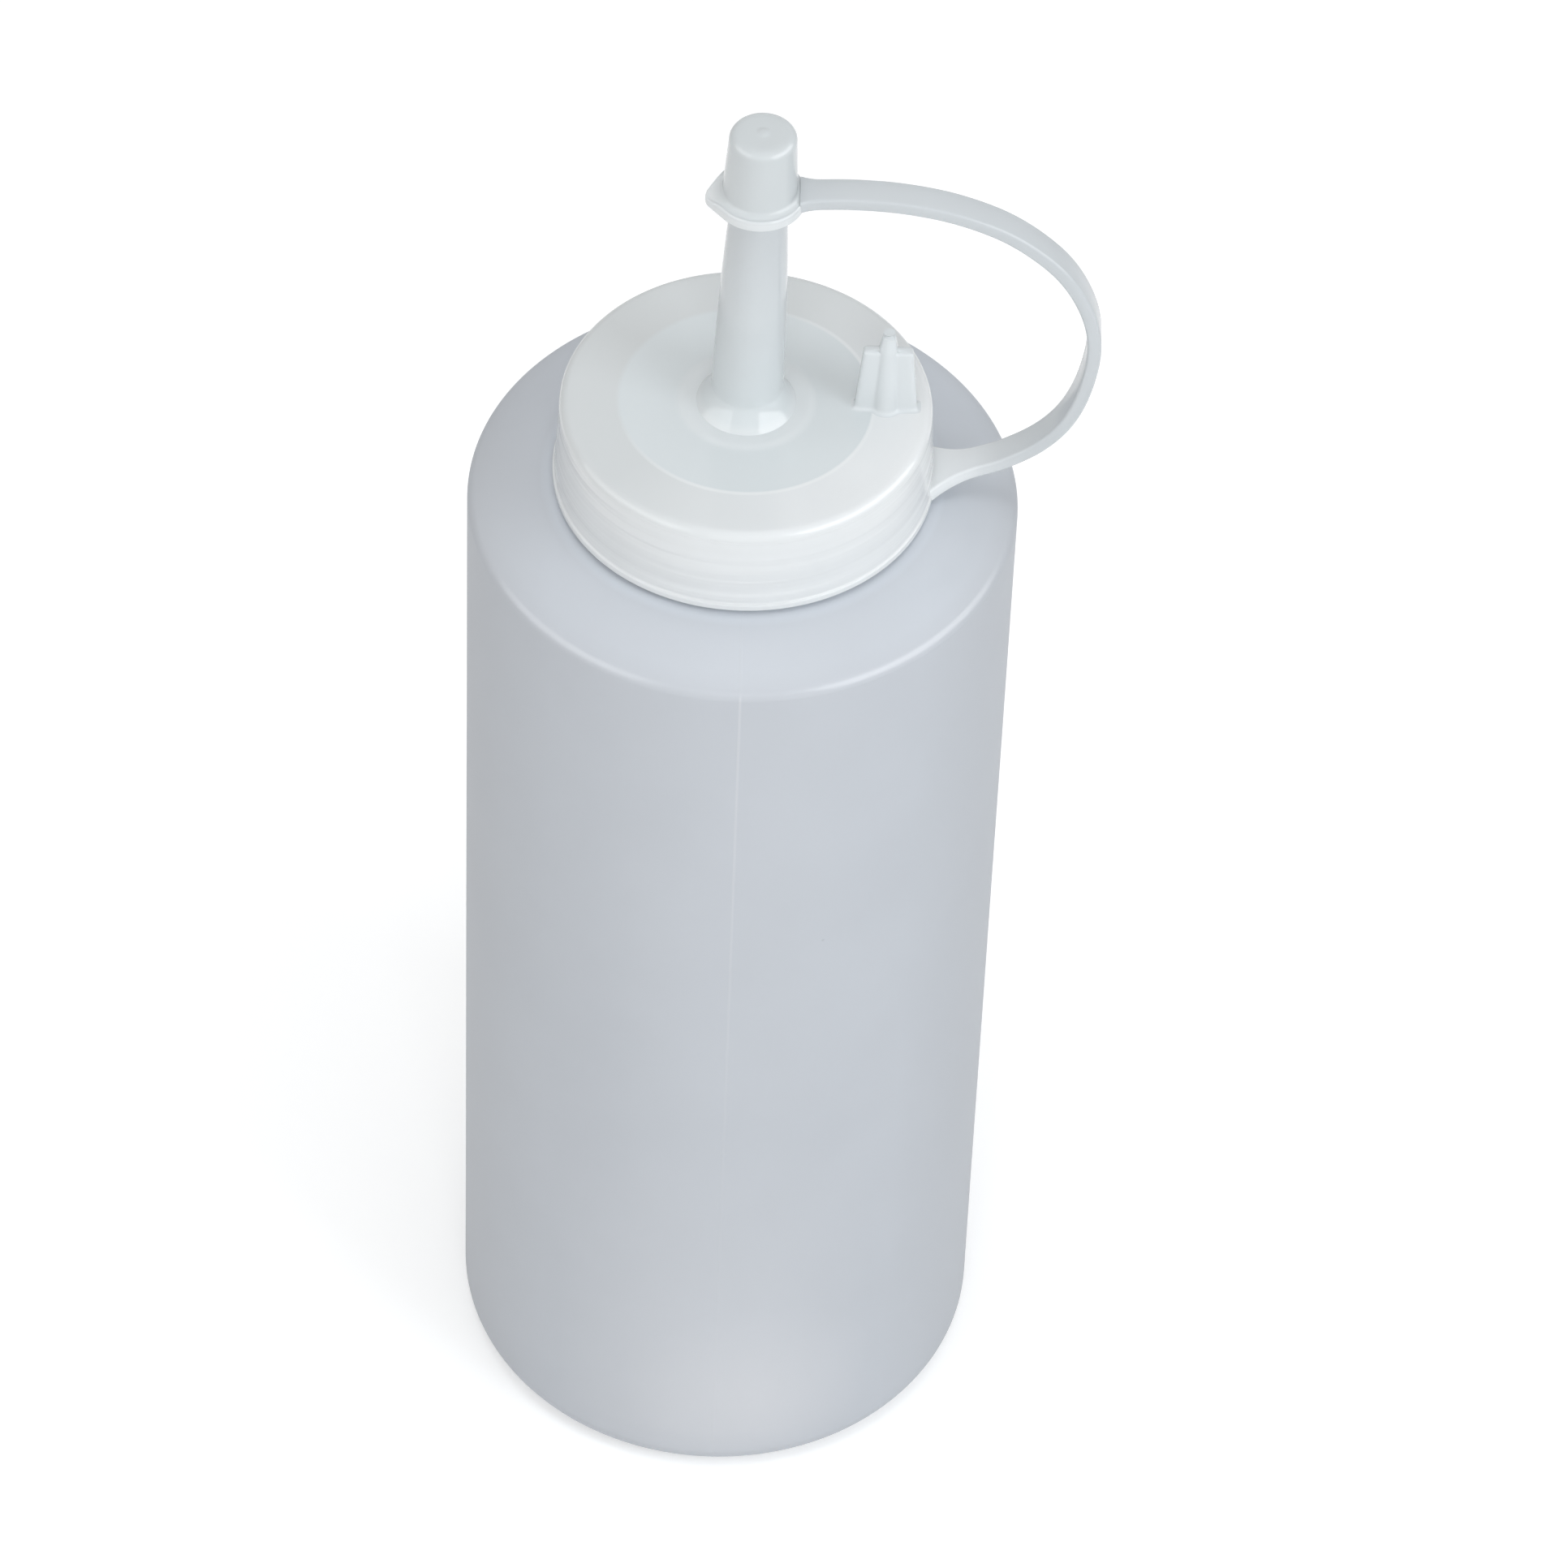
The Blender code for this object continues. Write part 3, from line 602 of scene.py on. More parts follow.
def bottle_plastic(look):
    """The bottle's plastic. Painted light makes it lighter on the shoulder, most of all at the right
    and beside the cap, and low down at the front, a painted patch of the light that the base sends
    up through the wall. The mould's parting line is lighter too, and painted shade darkens the
    sides. Its sheen fades where the wall turns away."""
    def painted_light_shade_and_marks(tree, place, tone):
        x, y, z = axes(tree, place)
        # Painted light: a patch low on the front, where the base sends light up through the wall
        front = remap(tree, y, -0.024, -0.0295, 0.0, 0.4)
        low = times(tree, remap(tree, z, 0.060, 0.012), front)
        pool_off = measured(tree, place, "DISTANCE", LIGHT_POOL)
        pool = remap(tree, pool_off, 0.016, 0.002, 0.0, 0.4)
        heel = remap(tree, z, 0.001, 0.007, 0.3, 1.0)
        foot = times(tree, worked(tree, "ADD", low, pool), heel)
        parting_off = measured(tree, place, "DOT_PRODUCT", PARTING_NORMAL)
        line = remap(tree, worked(tree, "ABSOLUTE", parting_off), 0.00005, 0.00020, 0.55, 0.0)
        line_up = remap(tree, z, 0.05, 0.135, 0.1, 1.0)
        line_end = remap(tree, z, 0.1352, 0.1358, 1.0, 0.2)
        line = times(tree, line, line_up, line_end)
        # Painted light: the shoulder is lighter as if lit from above, most of all on its right
        upper = remap(tree, z, 0.1355, 0.1368, 0.0, 0.35)
        right = remap(tree, x, 0.012, 0.030, 1.0, 2.4)
        cap_off = measured(tree, place, "DISTANCE", (0.0, 0.0, CROWN_Z))
        # Painted light beside the cap's rim, where it lifts the shadow that the cap casts
        beside = remap(tree, cap_off, 0.0222, 0.0208, 0.0, 3.0)
        shoulder = worked(tree, "ADD", times(tree, upper, right), times(tree, upper, beside))
        # Painted shade: the sides darken as they turn away from the light
        side = remap(tree, worked(tree, "ABSOLUTE", x), 0.020, 0.030, 0.0, 0.5)
        return towards(tree, tone,
                       (worked(tree, "ADD", foot, line), look.light_pool_and_line_colour),
                       (shoulder, look.lit_shoulder_colour),
                       (side, look.shaded_side_colour),
                       (specks(tree, place), look.speck_colour))

    material = milky_plastic("bottle_milky_plastic", look.bottle_colour, look.bottle_clear,
                             look.bottle_gloss, 0.22, painted_light_shade_and_marks)
    tree = material.node_tree
    facing = add_node(tree, "ShaderNodeLayerWeight")["Facing"]
    sheen = remap(tree, facing, 0.15, 0.42, look.bottle_gloss, 0.0)
    fill(tree, tree.nodes["Principled BSDF"], {"Specular IOR Level": sheen})
    return material


def bottle_outline(sizes):
    """The bottle's section, up the inside from the base, over the lip and down the outside, in
    four runs: inside, neck, outer body and base. Straight lines are joined by arcs, and the
    shoulder falls from the neck with the square of the way out to the edge's arc."""
    body_r = sizes.body_diameter / 2
    inner_r = body_r - sizes.wall
    neck_r = sizes.neck_diameter / 2
    bore_r = neck_r - sizes.neck_wall
    tilt = sizes.shoulder_tilt
    edge, inner_edge = sizes.edge_radius, sizes.edge_inner_radius
    heel, inner_heel = sizes.heel_radius, sizes.heel_inner_radius
    edge_r = body_r - edge * (1 - math.sin(tilt))
    rise = math.tan(tilt) * (edge_r - neck_r) / 2
    edge_centre_z = CROWN_Z - rise - edge * math.cos(tilt)

    def shoulder(radius, drop=0.0):
        share_out = (radius - neck_r) / (edge_r - neck_r)
        return np.stack([radius, CROWN_Z - drop - rise * share_out ** 2], axis=1)

    inner_edge_r = inner_r - inner_edge * (1 - math.sin(tilt))
    dome = shoulder(np.linspace(inner_edge_r, neck_r, 14), sizes.shoulder_wall)
    inner_centre_z = dome[0, 1] - inner_edge * math.cos(tilt)
    base_z = sizes.base_thickness
    inside = np.vstack([
        dense([(0.0005, base_z), (inner_r - inner_heel, base_z)], 0.002)[:-1],
        dense(np.vstack([
            arc((inner_r - inner_heel, base_z + inner_heel), inner_heel, -QUARTER, 0.0, 10),
            arc((inner_r - inner_edge, inner_centre_z), inner_edge, 0.0, QUARTER - tilt, 8)[:-1],
        ]), 0.003),
        dome,
        [(bore_r, CROWN_Z - sizes.shoulder_wall)],
    ])
    lip = sizes.lip_round
    foot = sizes.neck_foot_radius
    foot_r = neck_r + foot
    foot_z = shoulder(np.array([foot_r]))[0, 1] + foot
    neck = dense(np.vstack([
        arc((bore_r + lip, LIP_Z - lip), lip, math.pi, QUARTER, 4),
        arc((neck_r - lip, LIP_Z - lip), lip, QUARTER, 0.0, 4),
        [(neck_r, foot_z)],
    ]), NECK_STEP)
    outer = np.vstack([
        arc((foot_r, foot_z), foot, math.pi, 3 * QUARTER, 6)[1:],
        shoulder(np.linspace(foot_r, edge_r, 30))[1:-1],
        dense(np.vstack([
            arc((body_r - edge, edge_centre_z), edge, QUARTER - tilt, 0.0, 16),
            arc((body_r - heel, heel), heel, 0.0, -QUARTER, 14),
        ]), 0.002),
    ])
    flat_r = body_r - heel
    recess_r = flat_r - sizes.base_rim
    base_r = np.linspace(flat_r, 0.0005, 70)[1:]
    lifted = sizes.base_recess * smooth_share((flat_r - base_r) / (flat_r - recess_r))
    return inside, neck, outer, np.stack([base_r, lifted], axis=1)


def bottle_grid(sizes, thread):
    """The bottle's section turned about its axis. The neck's ridge stands out by the thread's
    height. The outside is drawn in by slow waves (sines of the angle and the height) and has a
    thin ridge, a bell curve of the distance from the mould's parting plane. The pinched seam on
    the base is a bell curve of the same distance."""
    outline, (_, on_neck, on_body, on_base) = joined(bottle_outline(sizes))
    parting = sizes.parting_angle - QUARTER
    near = np.linspace(-4.0, 4.0, 17) * sizes.parting_width / sizes.body_diameter * 2
    angles = np.sort(np.concatenate([all_round(180), np.mod(parting + near, math.tau),
                                     np.mod(parting + math.pi + near, math.tau)]))
    radius, height = outline[:, :1], outline[:, 1:]
    across = radius * np.sin(angles - parting)
    on_thread = on_neck & (radius > sizes.neck_diameter / 2 - 1e-7)
    ridge = thread_height(angles, outline[:, 1], CROWN_Z + thread.neck_start, 0.0, thread,
                          thread.neck_turns, thread.neck_root, thread.neck_crest)
    bell = np.exp(-(across / sizes.parting_width) ** 2)
    up = height / CROWN_Z
    waves = (np.sin(2 * angles + 3.1 * up) + 0.6 * np.sin(3 * angles + 9.0 * up + 1.0)
             + 0.4 * np.sin(5 * angles - 14.0 * up)) * np.sin(math.pi * up) / 2 - 1
    outside = sizes.parting_height * (bell - 1) + sizes.wall_ripple * waves * np.clip(up * 8, 0, 1)
    seam_end = smooth_share((sizes.body_diameter * 0.27 - radius) / 0.004)
    seam = sizes.seam_height * np.exp(-(across / sizes.seam_width) ** 2) * seam_end
    lift = thread.neck_depth * ridge * on_thread + outside * on_body + seam * on_base
    return turned_grid(outline, angles, lift)


class SQUEEZE_BOTTLE_OT_bottle(bpy.types.Operator):
    """Make the bottle: body, shoulder, neck and neck thread in one shell"""
    bl_idname = "squeeze_bottle.bottle"
    bl_label = "Make the bottle"

    def execute(self, context):
        scene = context.scene
        grid = bottle_grid(scene.bottle_sizes, scene.thread_sizes)
        add_piece("bottle_shell", grid, bottle_plastic(scene.plastic_look),
                  "bottle", "bottle")
        return {"FINISHED"}


class SQUEEZE_BOTTLE_OT_seal(bpy.types.Operator):
    """Give the seal ring its foam"""
    bl_idname = "squeeze_bottle.seal"
    bl_label = "Dress the seal ring"

    def execute(self, context):
        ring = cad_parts["seal_ring"]
        ring.data.materials.clear()
        ring.data.materials.append(foam("seal_foam", context.scene.plastic_look.foam_colour))
        return {"FINISHED"}


def leaned(grid, sizes):
    """The same grid with x moved by a share of the height above the cap's roof."""
    above = np.clip(grid[:, :, 2] - ROOF_UNDER_Z - sizes.roof, 0.0, None)
    grid[:, :, 0] += sizes.lean * above
    return grid


def nozzle_radius(height, sizes):
    """Outside of the nozzle: it thins with the square of the height up it."""
    top_z = ROOF_UNDER_Z + sizes.roof
    up = (height - top_z) / (NOZZLE_TOP_Z - top_z)
    return (sizes.foot_diameter - (sizes.foot_diameter - sizes.tip_diameter) * up ** 2) / 2


def cap_outline(sizes, thread, neck_r):
    """The screw cap's section as a ring of points in four runs: down the nozzle and over the
    roof, down the skirt, up the threaded bore, and under the roof and up the nozzle's bore."""
    top_z = ROOF_UNDER_Z + sizes.roof
    bore_r = neck_r + thread.neck_depth + thread.clearance
    skirt_r = bore_r + sizes.wall
    boss_z = top_z + sizes.boss_height
    flare_z = np.linspace(boss_z + sizes.fillet_height, boss_z, 14)
    down = 1 - (flare_z - boss_z) / sizes.fillet_height
    flare_r = nozzle_radius(flare_z, sizes) + sizes.fillet_width * down ** FLARE_POWER
    boss_r = sizes.boss_diameter / 2
    fall_r = np.linspace(boss_r - sizes.boss_ease, boss_r, 10)
    fall_z = boss_z - sizes.boss_height * smooth_share((fall_r - fall_r[0]) / sizes.boss_ease)
    tip_r = sizes.tip_diameter / 2
    lip = sizes.tip_round
    shank_z = np.linspace(NOZZLE_TOP_Z - lip, flare_z[0], 44)[1:-1]
    edge = sizes.edge_radius
    roof = np.vstack([
        arc((tip_r - lip, NOZZLE_TOP_Z - lip), lip, QUARTER, 0.0, 4),
        np.stack([nozzle_radius(shank_z, sizes), shank_z], axis=1),
        np.stack([flare_r, flare_z], axis=1),
        dense([(flare_r[-1], boss_z), (boss_r - sizes.boss_ease, boss_z)], 0.0004)[1:-1],
        np.stack([fall_r, fall_z], axis=1),
        dense([(boss_r, top_z), (skirt_r - edge, top_z)], 0.0005)[1:-1],
        arc((skirt_r - edge, top_z - edge), edge, QUARTER, 0.0, 10),
    ])
    bead_top = SKIRT_Z + sizes.bead_height
    bead = sizes.bead_proud
    low_r = skirt_r + sizes.flare
    skirt = np.vstack([
        dense([(skirt_r, top_z - edge), (low_r, bead_top + bead)], SKIRT_STEP)[1:],
        arc((low_r + bead, bead_top + bead), bead, math.pi, 3 * QUARTER, 3)[1:-1],
        arc((BEAD_R - bead, bead_top - bead), bead, QUARTER, 0.0, 4),
        arc((BEAD_R - bead, SKIRT_Z + bead), bead, 0.0, -QUARTER, 5),
        arc((bore_r + bead, SKIRT_Z + bead), bead, -QUARTER, -math.pi, 4),
    ])
    bore = dense([(bore_r, SKIRT_Z + bead), (bore_r, ROOF_UNDER_Z - bead)], SKIRT_STEP)[1:]
    inner_r = sizes.foot_diameter / 2 - sizes.nozzle_wall
    inner_z = np.linspace(top_z, NOZZLE_TOP_Z - lip, 26)
    under = np.vstack([
        arc((bore_r - bead, ROOF_UNDER_Z - bead), bead, 0.0, QUARTER, 4)[1:],
        dense([(bore_r - 2 * bead, ROOF_UNDER_Z), (inner_r + sizes.roof, ROOF_UNDER_Z)], 0.001),
        arc((inner_r + sizes.roof, top_z), sizes.roof, -QUARTER, -math.pi, 8)[1:-1],
        np.stack([nozzle_radius(inner_z, sizes) - sizes.nozzle_wall, inner_z], axis=1),
        arc((tip_r - sizes.nozzle_wall + lip, NOZZLE_TOP_Z - lip), lip, math.pi, QUARTER, 4)[1:],
    ])
    return roof, skirt, bore, under


def cap_grid(sizes, thread, neck_r):
    """The cap's section turned about the axis, with its thread standing into the bore and a
    faint mark of the same thread sunk into the outside of the skirt."""
    outline, (_, on_skirt, on_bore, _) = joined(cap_outline(sizes, thread, neck_r))
    angles = all_round(240)
    drop = (thread.neck_root + thread.cap_root) / 2
    lowest_z = SKIRT_Z + GAP + thread.cap_root / 2
    start_turn = (lowest_z - (CROWN_Z + thread.neck_start - drop)) / thread.lead
    ridge, mark = (
        thread_height(angles, outline[:, 1], lowest_z, math.tau * start_turn, thread,
                      thread.cap_turns, root, crest)
        for root, crest in ((thread.cap_root, thread.cap_crest), (2 * thread.cap_root, 0.0)))
    above_bead = outline[:, 1:] > SKIRT_Z + sizes.bead_height + sizes.bead_proud
    lift = thread.cap_depth * ridge * on_bore - sizes.sink * mark * (on_skirt & above_bead)
    return leaned(turned_grid(outline, angles, lift), sizes)


def peg_grid(sizes, top_z):
    """The parking peg: each level is the union of a circle and a rounded bar. In polar form the
    bar's edge is (|cos a / half span|^p + |sin a / half width|^p)^(-1/p), and the level's edge is
    a high power mean of the bar's and the circle's radii. Above the blades the bar shrinks away."""
    round_here, fillet = sizes.round_edge, sizes.fillet
    high, blade_z = top_z + sizes.height, top_z + sizes.height - sizes.point_height
    corner = np.linspace(0.0, QUARTER, 6)
    point_z = np.linspace(high - round_here, blade_z, 10)[1:-1]
    blade_round = np.linspace(0.0, QUARTER, 8)
    flank = np.linspace(blade_z - round_here, top_z + fillet, 16)[1:-1]
    spread = np.linspace(0.0, QUARTER, 8)
    heights = np.concatenate([high - round_here * (1 - np.sin(corner)[::-1]), point_z,
                              blade_z - round_here * (1 - np.cos(blade_round)), flank,
                              top_z + fillet * (1 - np.sin(spread)), [top_z - GAP]])
    point_r, pin_r, foot_r = sizes.point_diameter / 2, sizes.pin_top / 2, sizes.pin_foot / 2
    pin = np.where(heights > blade_z,
                   np.interp(heights, [blade_z, high], [pin_r, point_r]),
                   np.interp(heights, [top_z, blade_z], [foot_r, pin_r]))
    count = len(corner)
    pin[:count] -= round_here * (1 - np.cos(corner[::-1]))[::-1]
    out = np.zeros_like(heights)
    first = count + len(point_z)
    out[first:first + len(blade_round)] = -round_here * (1 - np.sin(blade_round))
    out[-len(spread) - 1:-1] = fillet * (1 - np.cos(spread))
    out[-1] = fillet
    half_span = np.interp(heights, [top_z, blade_z], [sizes.blade_foot / 2, sizes.blade_top / 2]) + out
    half_width = sizes.blade / 2 + out
    half_span[:first] = pin[:first] * 0.9
    half_width[:first] = pin[:first] * 0.7
    pin[first:] += np.clip(out[first:], 0.0, None)
    angles = all_round(144)
    cos, sin = np.abs(np.cos(angles)), np.abs(np.sin(angles))
    bar = ((cos / half_span[:, None]) ** BAR_POWER
           + (sin / half_width[:, None]) ** BAR_POWER) ** (-1 / BAR_POWER)
    radius = (bar ** UNION_POWER + pin[:, None] ** UNION_POWER) ** (1 / UNION_POWER)
    return np.stack([sizes.offset + radius * np.cos(angles), radius * np.sin(angles),
                     np.broadcast_to(heights[:, None], radius.shape)], axis=2)


class SQUEEZE_BOTTLE_OT_screw_cap(bpy.types.Operator):
    """Make the screw cap with its nozzle, and the parking peg on its roof"""
    bl_idname = "squeeze_bottle.screw_cap"
    bl_label = "Make the screw cap"

    def execute(self, context):
        scene = context.scene
        sizes, look = scene.cap_sizes, scene.plastic_look
        grid = cap_grid(sizes, scene.thread_sizes, scene.bottle_sizes.neck_diameter / 2)
        add_piece("screw_cap_shell", grid, cap_plastic(look), "screw_cap", "cap",
                  poles=0)
        grid = peg_grid(scene.peg_sizes, ROOF_UNDER_Z + sizes.roof)
        add_piece("parking_peg", grid, peg_plastic(look), "screw_cap", "cap")
        return {"FINISHED"}


def tab_extra(angles, sizes):
    """How far the flange's outline stands beyond its disc at each angle: two straight sides
    that touch the disc and a small round at the thumb tab's end, on the -X side."""
    disc_r = sizes.flange_diameter / 2
    tip_r = sizes.tab_radius
    centre = sizes.tab_reach - tip_r
    lean = math.acos((disc_r - tip_r) / centre)
    off = np.abs(np.mod(angles, math.tau) - math.pi)
    touch = math.atan2(tip_r * math.sin(lean), centre + tip_r * math.cos(lean))
    side = disc_r / np.cos(np.clip(off - lean, -QUARTER / 2, 0.0))
    small = np.clip(tip_r ** 2 - (centre * np.sin(off)) ** 2, 0.0, None)
    end = centre * np.cos(off) + np.sqrt(small)
    return np.where(off < touch, end, np.where(off < lean, side, disc_r)) - disc_r


def tip_grid(sizes, cap_sizes):
    """The tip cap's section turned about the axis. Towards the flange's edge the outline grows
    by the thumb tab, in step with a level share of the way out, and the tab thins as it goes."""
    top_r = sizes.top_diameter / 2
    foot_r = sizes.foot_diameter / 2
    disc_r = sizes.flange_diameter / 2
    flange_top = FLANGE_Z + sizes.flange_thickness
    edge, ease, foot = sizes.edge_radius, sizes.flange_round, sizes.foot_round
    crown_z = TIP_TOP_Z - sizes.nib_height
    crown_r = np.linspace(0.00015, top_r - edge, 14)[:-1]
    crown = crown_z - sizes.crown * (crown_r / top_r) ** 2
    nib = sizes.nib_height * smooth_share(1.4 - crown_r / sizes.nib_radius)
    edge_top = crown_z - sizes.crown
    bell = disc_r - foot_r - ease / 2
    bell_z = flange_top + bell * 0.6
    mouth_r = nozzle_radius(FLANGE_Z, cap_sizes) + GAP
    end_r = cap_sizes.tip_diameter / 2 + GAP
    roof_z = NOZZLE_TOP_Z + GAP
    outline = np.vstack([
        np.stack([crown_r, crown + nib], axis=1),
        arc((top_r - edge, edge_top - edge), edge, QUARTER, 0.0, 10),
        dense([(top_r, edge_top - edge), (foot_r, bell_z)], 0.0004)[1:-1],
        arc((foot_r + bell, bell_z), (bell, bell * 0.9), math.pi, 3 * QUARTER, 10),
        arc((disc_r - ease, flange_top - bell * 0.3 - ease), ease, QUARTER, 0.0, 6),
        arc((disc_r - foot, FLANGE_Z + foot), foot, 0.0, -QUARTER, 4),
        dense([(disc_r - ease, FLANGE_Z), (mouth_r + ease / 2, FLANGE_Z)], 0.0003)[1:],
        arc((mouth_r + ease / 2, FLANGE_Z + ease / 2), ease / 2, -QUARTER, -math.pi, 3)[1:],
        dense([(mouth_r, FLANGE_Z + ease / 2), (end_r, roof_z)], 0.0008)[1:],
        dense([(end_r - ease / 2, roof_z), (0.0003, roof_z)], 0.0006),
    ])
    angles = all_round(192)
    grid = turned_grid(outline, angles)
    low = outline[:, 1] < bell_z
    out = smooth_share((outline[:, 0] - foot_r) / (disc_r - ease - foot_r)) * low
    extra = out[:, None] * tab_extra(angles - sizes.tab_turn, sizes)
    grid[:, :, 0] += extra * np.cos(angles)
    grid[:, :, 1] += extra * np.sin(angles)
    thin = sizes.tab_thin * extra / (sizes.tab_reach - disc_r)
    grid[:, :, 2] -= (grid[:, :, 2] - FLANGE_Z) * thin
    return leaned(grid, cap_sizes)


class SQUEEZE_BOTTLE_OT_tip_cap(bpy.types.Operator):
    """Make the tip cap with its flange and thumb tab"""
    bl_idname = "squeeze_bottle.tip_cap"
    bl_label = "Make the tip cap"

    def execute(self, context):
        scene = context.scene
        grid = tip_grid(scene.tip_sizes, scene.cap_sizes)
        add_piece("tip_cap_shell", grid, tip_plastic(scene.plastic_look), "tip_cap",
                  "tip")
        return {"FINISHED"}


def smooth_path(points, steps):
    """A Catmull-Rom curve through the given points, with so many steps in each span."""
    held = np.vstack([2 * points[0] - points[1], points, 2 * points[-1] - points[-2]])
    t = np.linspace(0.0, 1.0, steps, endpoint=False)[None, :, None]
    before, start, end, after = (held[i:len(held) - 3 + i, None] for i in range(4))
    spans = 0.5 * (2 * start + (end - before) * t + (2 * before - 5 * start + 4 * end - after) * t ** 2
                   + (3 * start - before - 3 * end + after) * t ** 3)
    return np.vstack([spans.reshape(-1, 2), points[-1:]])


def strap_grid(sizes, flange_r, flange_mid):
    """A rounded strip carried along the loop's middle line in the XZ plane. Its width grows at
    both ends with the square of the nearness to that end."""
    root_z = STRAP_LOW.z + sizes.thickness / 2
    farthest = STRAP_HIGH.x - sizes.thickness / 2 - 0.00001  # a hair inside the frame's box
    height = flange_mid - root_z
    lower = np.array(STRAP_LOWER_SHARES) * (farthest - BEAD_R, height) + (BEAD_R, root_z)
    upper = np.array(STRAP_UPPER_SHARES) * (farthest - flange_r, height) + (flange_r, root_z)
    path = smooth_path(np.vstack([lower, upper]), 12)
    along = np.gradient(path, axis=0)
    along /= np.linalg.norm(along, axis=1)[:, None]
    path = np.vstack([path[:1] - along[:1] * sizes.rooting, path,
                      path[-1:] + along[-1:] * sizes.rooting])
    along = np.vstack([along[:1], along, along[-1:]])
    run = np.concatenate([[0.0], np.cumsum(np.linalg.norm(np.diff(path, axis=0), axis=1))])
    from_root = np.clip(1 - run / sizes.root_length, 0.0, 1.0)
    from_tip = np.clip(1 - (run[-1] - run) / sizes.tip_length, 0.0, 1.0)
    wide = sizes.width + sizes.root_flare * from_root ** 2 + sizes.tip_flare * from_tip ** 2
    corner = sizes.corner
    quarters = QUARTER * np.arange(4)
    around = (quarters[:, None] + np.linspace(0.0, QUARTER, 5)).ravel()
    middle = np.repeat(quarters + QUARTER / 2, 5)
    side = (wide[:, None] / 2 - corner) * np.sign(np.cos(middle)) + corner * np.cos(around)
    up = (corner - sizes.thickness / 2) * np.sign(np.sin(middle)) - corner * np.sin(around)
    return np.stack([path[:, :1] - along[:, 1:] * up, side + 0 * up,
                     path[:, 1:] + along[:, :1] * up], axis=2)


class SQUEEZE_BOTTLE_OT_strap(bpy.types.Operator):
    """Make the strap from the screw cap's rim to the tip cap's flange"""
    bl_idname = "squeeze_bottle.strap"
    bl_label = "Make the strap"

    def execute(self, context):
        scene = context.scene
        tip = scene.tip_sizes
        flange_mid = FLANGE_Z + tip.flange_thickness / 2
        roof_z = ROOF_UNDER_Z + scene.cap_sizes.roof
        flange_r = tip.flange_diameter / 2 + scene.cap_sizes.lean * (flange_mid - roof_z)
        grid = strap_grid(scene.strap_sizes, flange_r, flange_mid)
        strap = add_piece("strap_loop", grid, strap_plastic(scene.plastic_look),
                          "strap")
        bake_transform(strap)
        return {"FINISHED"}


def seeing_rays(tree):
    """1 for the rays that see a surface: straight from the camera, mirrored or passed through."""
    rays = add_node(tree, "ShaderNodeLightPath")
    seen = worked(tree, "MAXIMUM", rays["Is Camera Ray"], rays["Is Glossy Ray"])
    return worked(tree, "MAXIMUM", seen, rays["Is Transmission Ray"])


def white_to_the_eye(tree, surface, lift):
    """Add a share of white to a surface for rays that see it, and not for its light."""
    strength = times(tree, seeing_rays(tree), lift)
    glow = add_node(tree, "ShaderNodeEmission", {"Strength": strength})["Emission"]
    return add_node(tree, "ShaderNodeAddShader", {0: surface, 1: glow})["Shader"]


def add_floor(look):
    """A wide pale floor at the height that the bottle stands on: a disc, r and angle."""
    angles = all_round(96)
    radius = np.geomspace(0.05, 6.0, 24)[:, None] + 0 * angles
    grid = np.stack([radius * np.cos(angles), radius * np.sin(angles), 0 * radius], axis=2)
    mesh = skin("floor", grid, poles=1)
    floor = bpy.data.objects.new("floor", mesh)
    bpy.context.scene.collection.objects.link(floor)
    material, tree, shader = principled("floor_pale")
    fill(tree, shader, {
        "Base Color": (*look.floor_colour, 1.0),
        "Roughness": 0.9,
        "Specular IOR Level": 0.0,
    })
    lit = white_to_the_eye(tree, shader.outputs["BSDF"], look.floor_lift)
    fill(tree, tree.nodes["Material Output"], {"Surface": lit})
    mesh.materials.append(material)


def add_room(look):
    """Even light from all round, and white where a ray that sees runs past the floor."""
    world = bpy.data.worlds.new("room")
    bpy.context.scene.world = world
    world.use_nodes = True
    tree = world.node_tree
    strength = remap(tree, seeing_rays(tree), 0.0, 1.0, look.room_light)
    fill(tree, tree.nodes["Background"], {"Color": (*WHITE, 1.0), "Strength": strength})


def add_lamp(name, azimuth, elevation, watts, tint, width=0.45, height=0.55, card=False):
    """A soft rectangular lamp that looks at the bottle's middle from an azimuth (0 is the front,
    positive to the right) and an elevation, both in degrees. It lights matt surfaces and leaves
    no mirror image, or, as a card, it is seen in the sheen alone."""
    lamp = bpy.data.lights.new(name, "AREA")
    lamp.shape = "RECTANGLE"
    lamp.size = width
    lamp.size_y = height
    lamp.energy = watts
    lamp.color = tint
    item = bpy.data.objects.new(name, lamp)
    bpy.context.scene.collection.objects.link(item)
    a, e = math.radians(azimuth), math.radians(elevation)
    back = Vector((math.sin(a) * math.cos(e), -math.cos(a) * math.cos(e), math.sin(e)))
    item.location = LAMP_AIM + back * LAMP_DISTANCE
    item.rotation_euler = back.to_track_quat("Z", "Y").to_euler()
    item.visible_camera = False
    item.visible_transmission = False
    item.visible_diffuse = not card
    item.visible_glossy = card


def add_camera(look):
    """The photograph's viewing angle: place, aim and roll, with a long lens."""
    place = Vector((0.0, -0.648779, 0.818837))
    aim = Vector((0.005836, 0.0, 0.088311))
    roll = math.radians(2.4725)
    data = bpy.data.cameras.new("camera")
    data.lens = look.lens
    data.sensor_width = 36.0
    data.clip_start = 0.05
    data.clip_end = 20.0
    camera = bpy.data.objects.new("camera", data)
    bpy.context.scene.collection.objects.link(camera)
    facing = (aim - place).to_track_quat("-Z", "Y").to_matrix()
    camera.location = place
    camera.rotation_euler = (facing @ Matrix.Rotation(roll, 3, "Z")).to_euler()
    bpy.context.scene.camera = camera


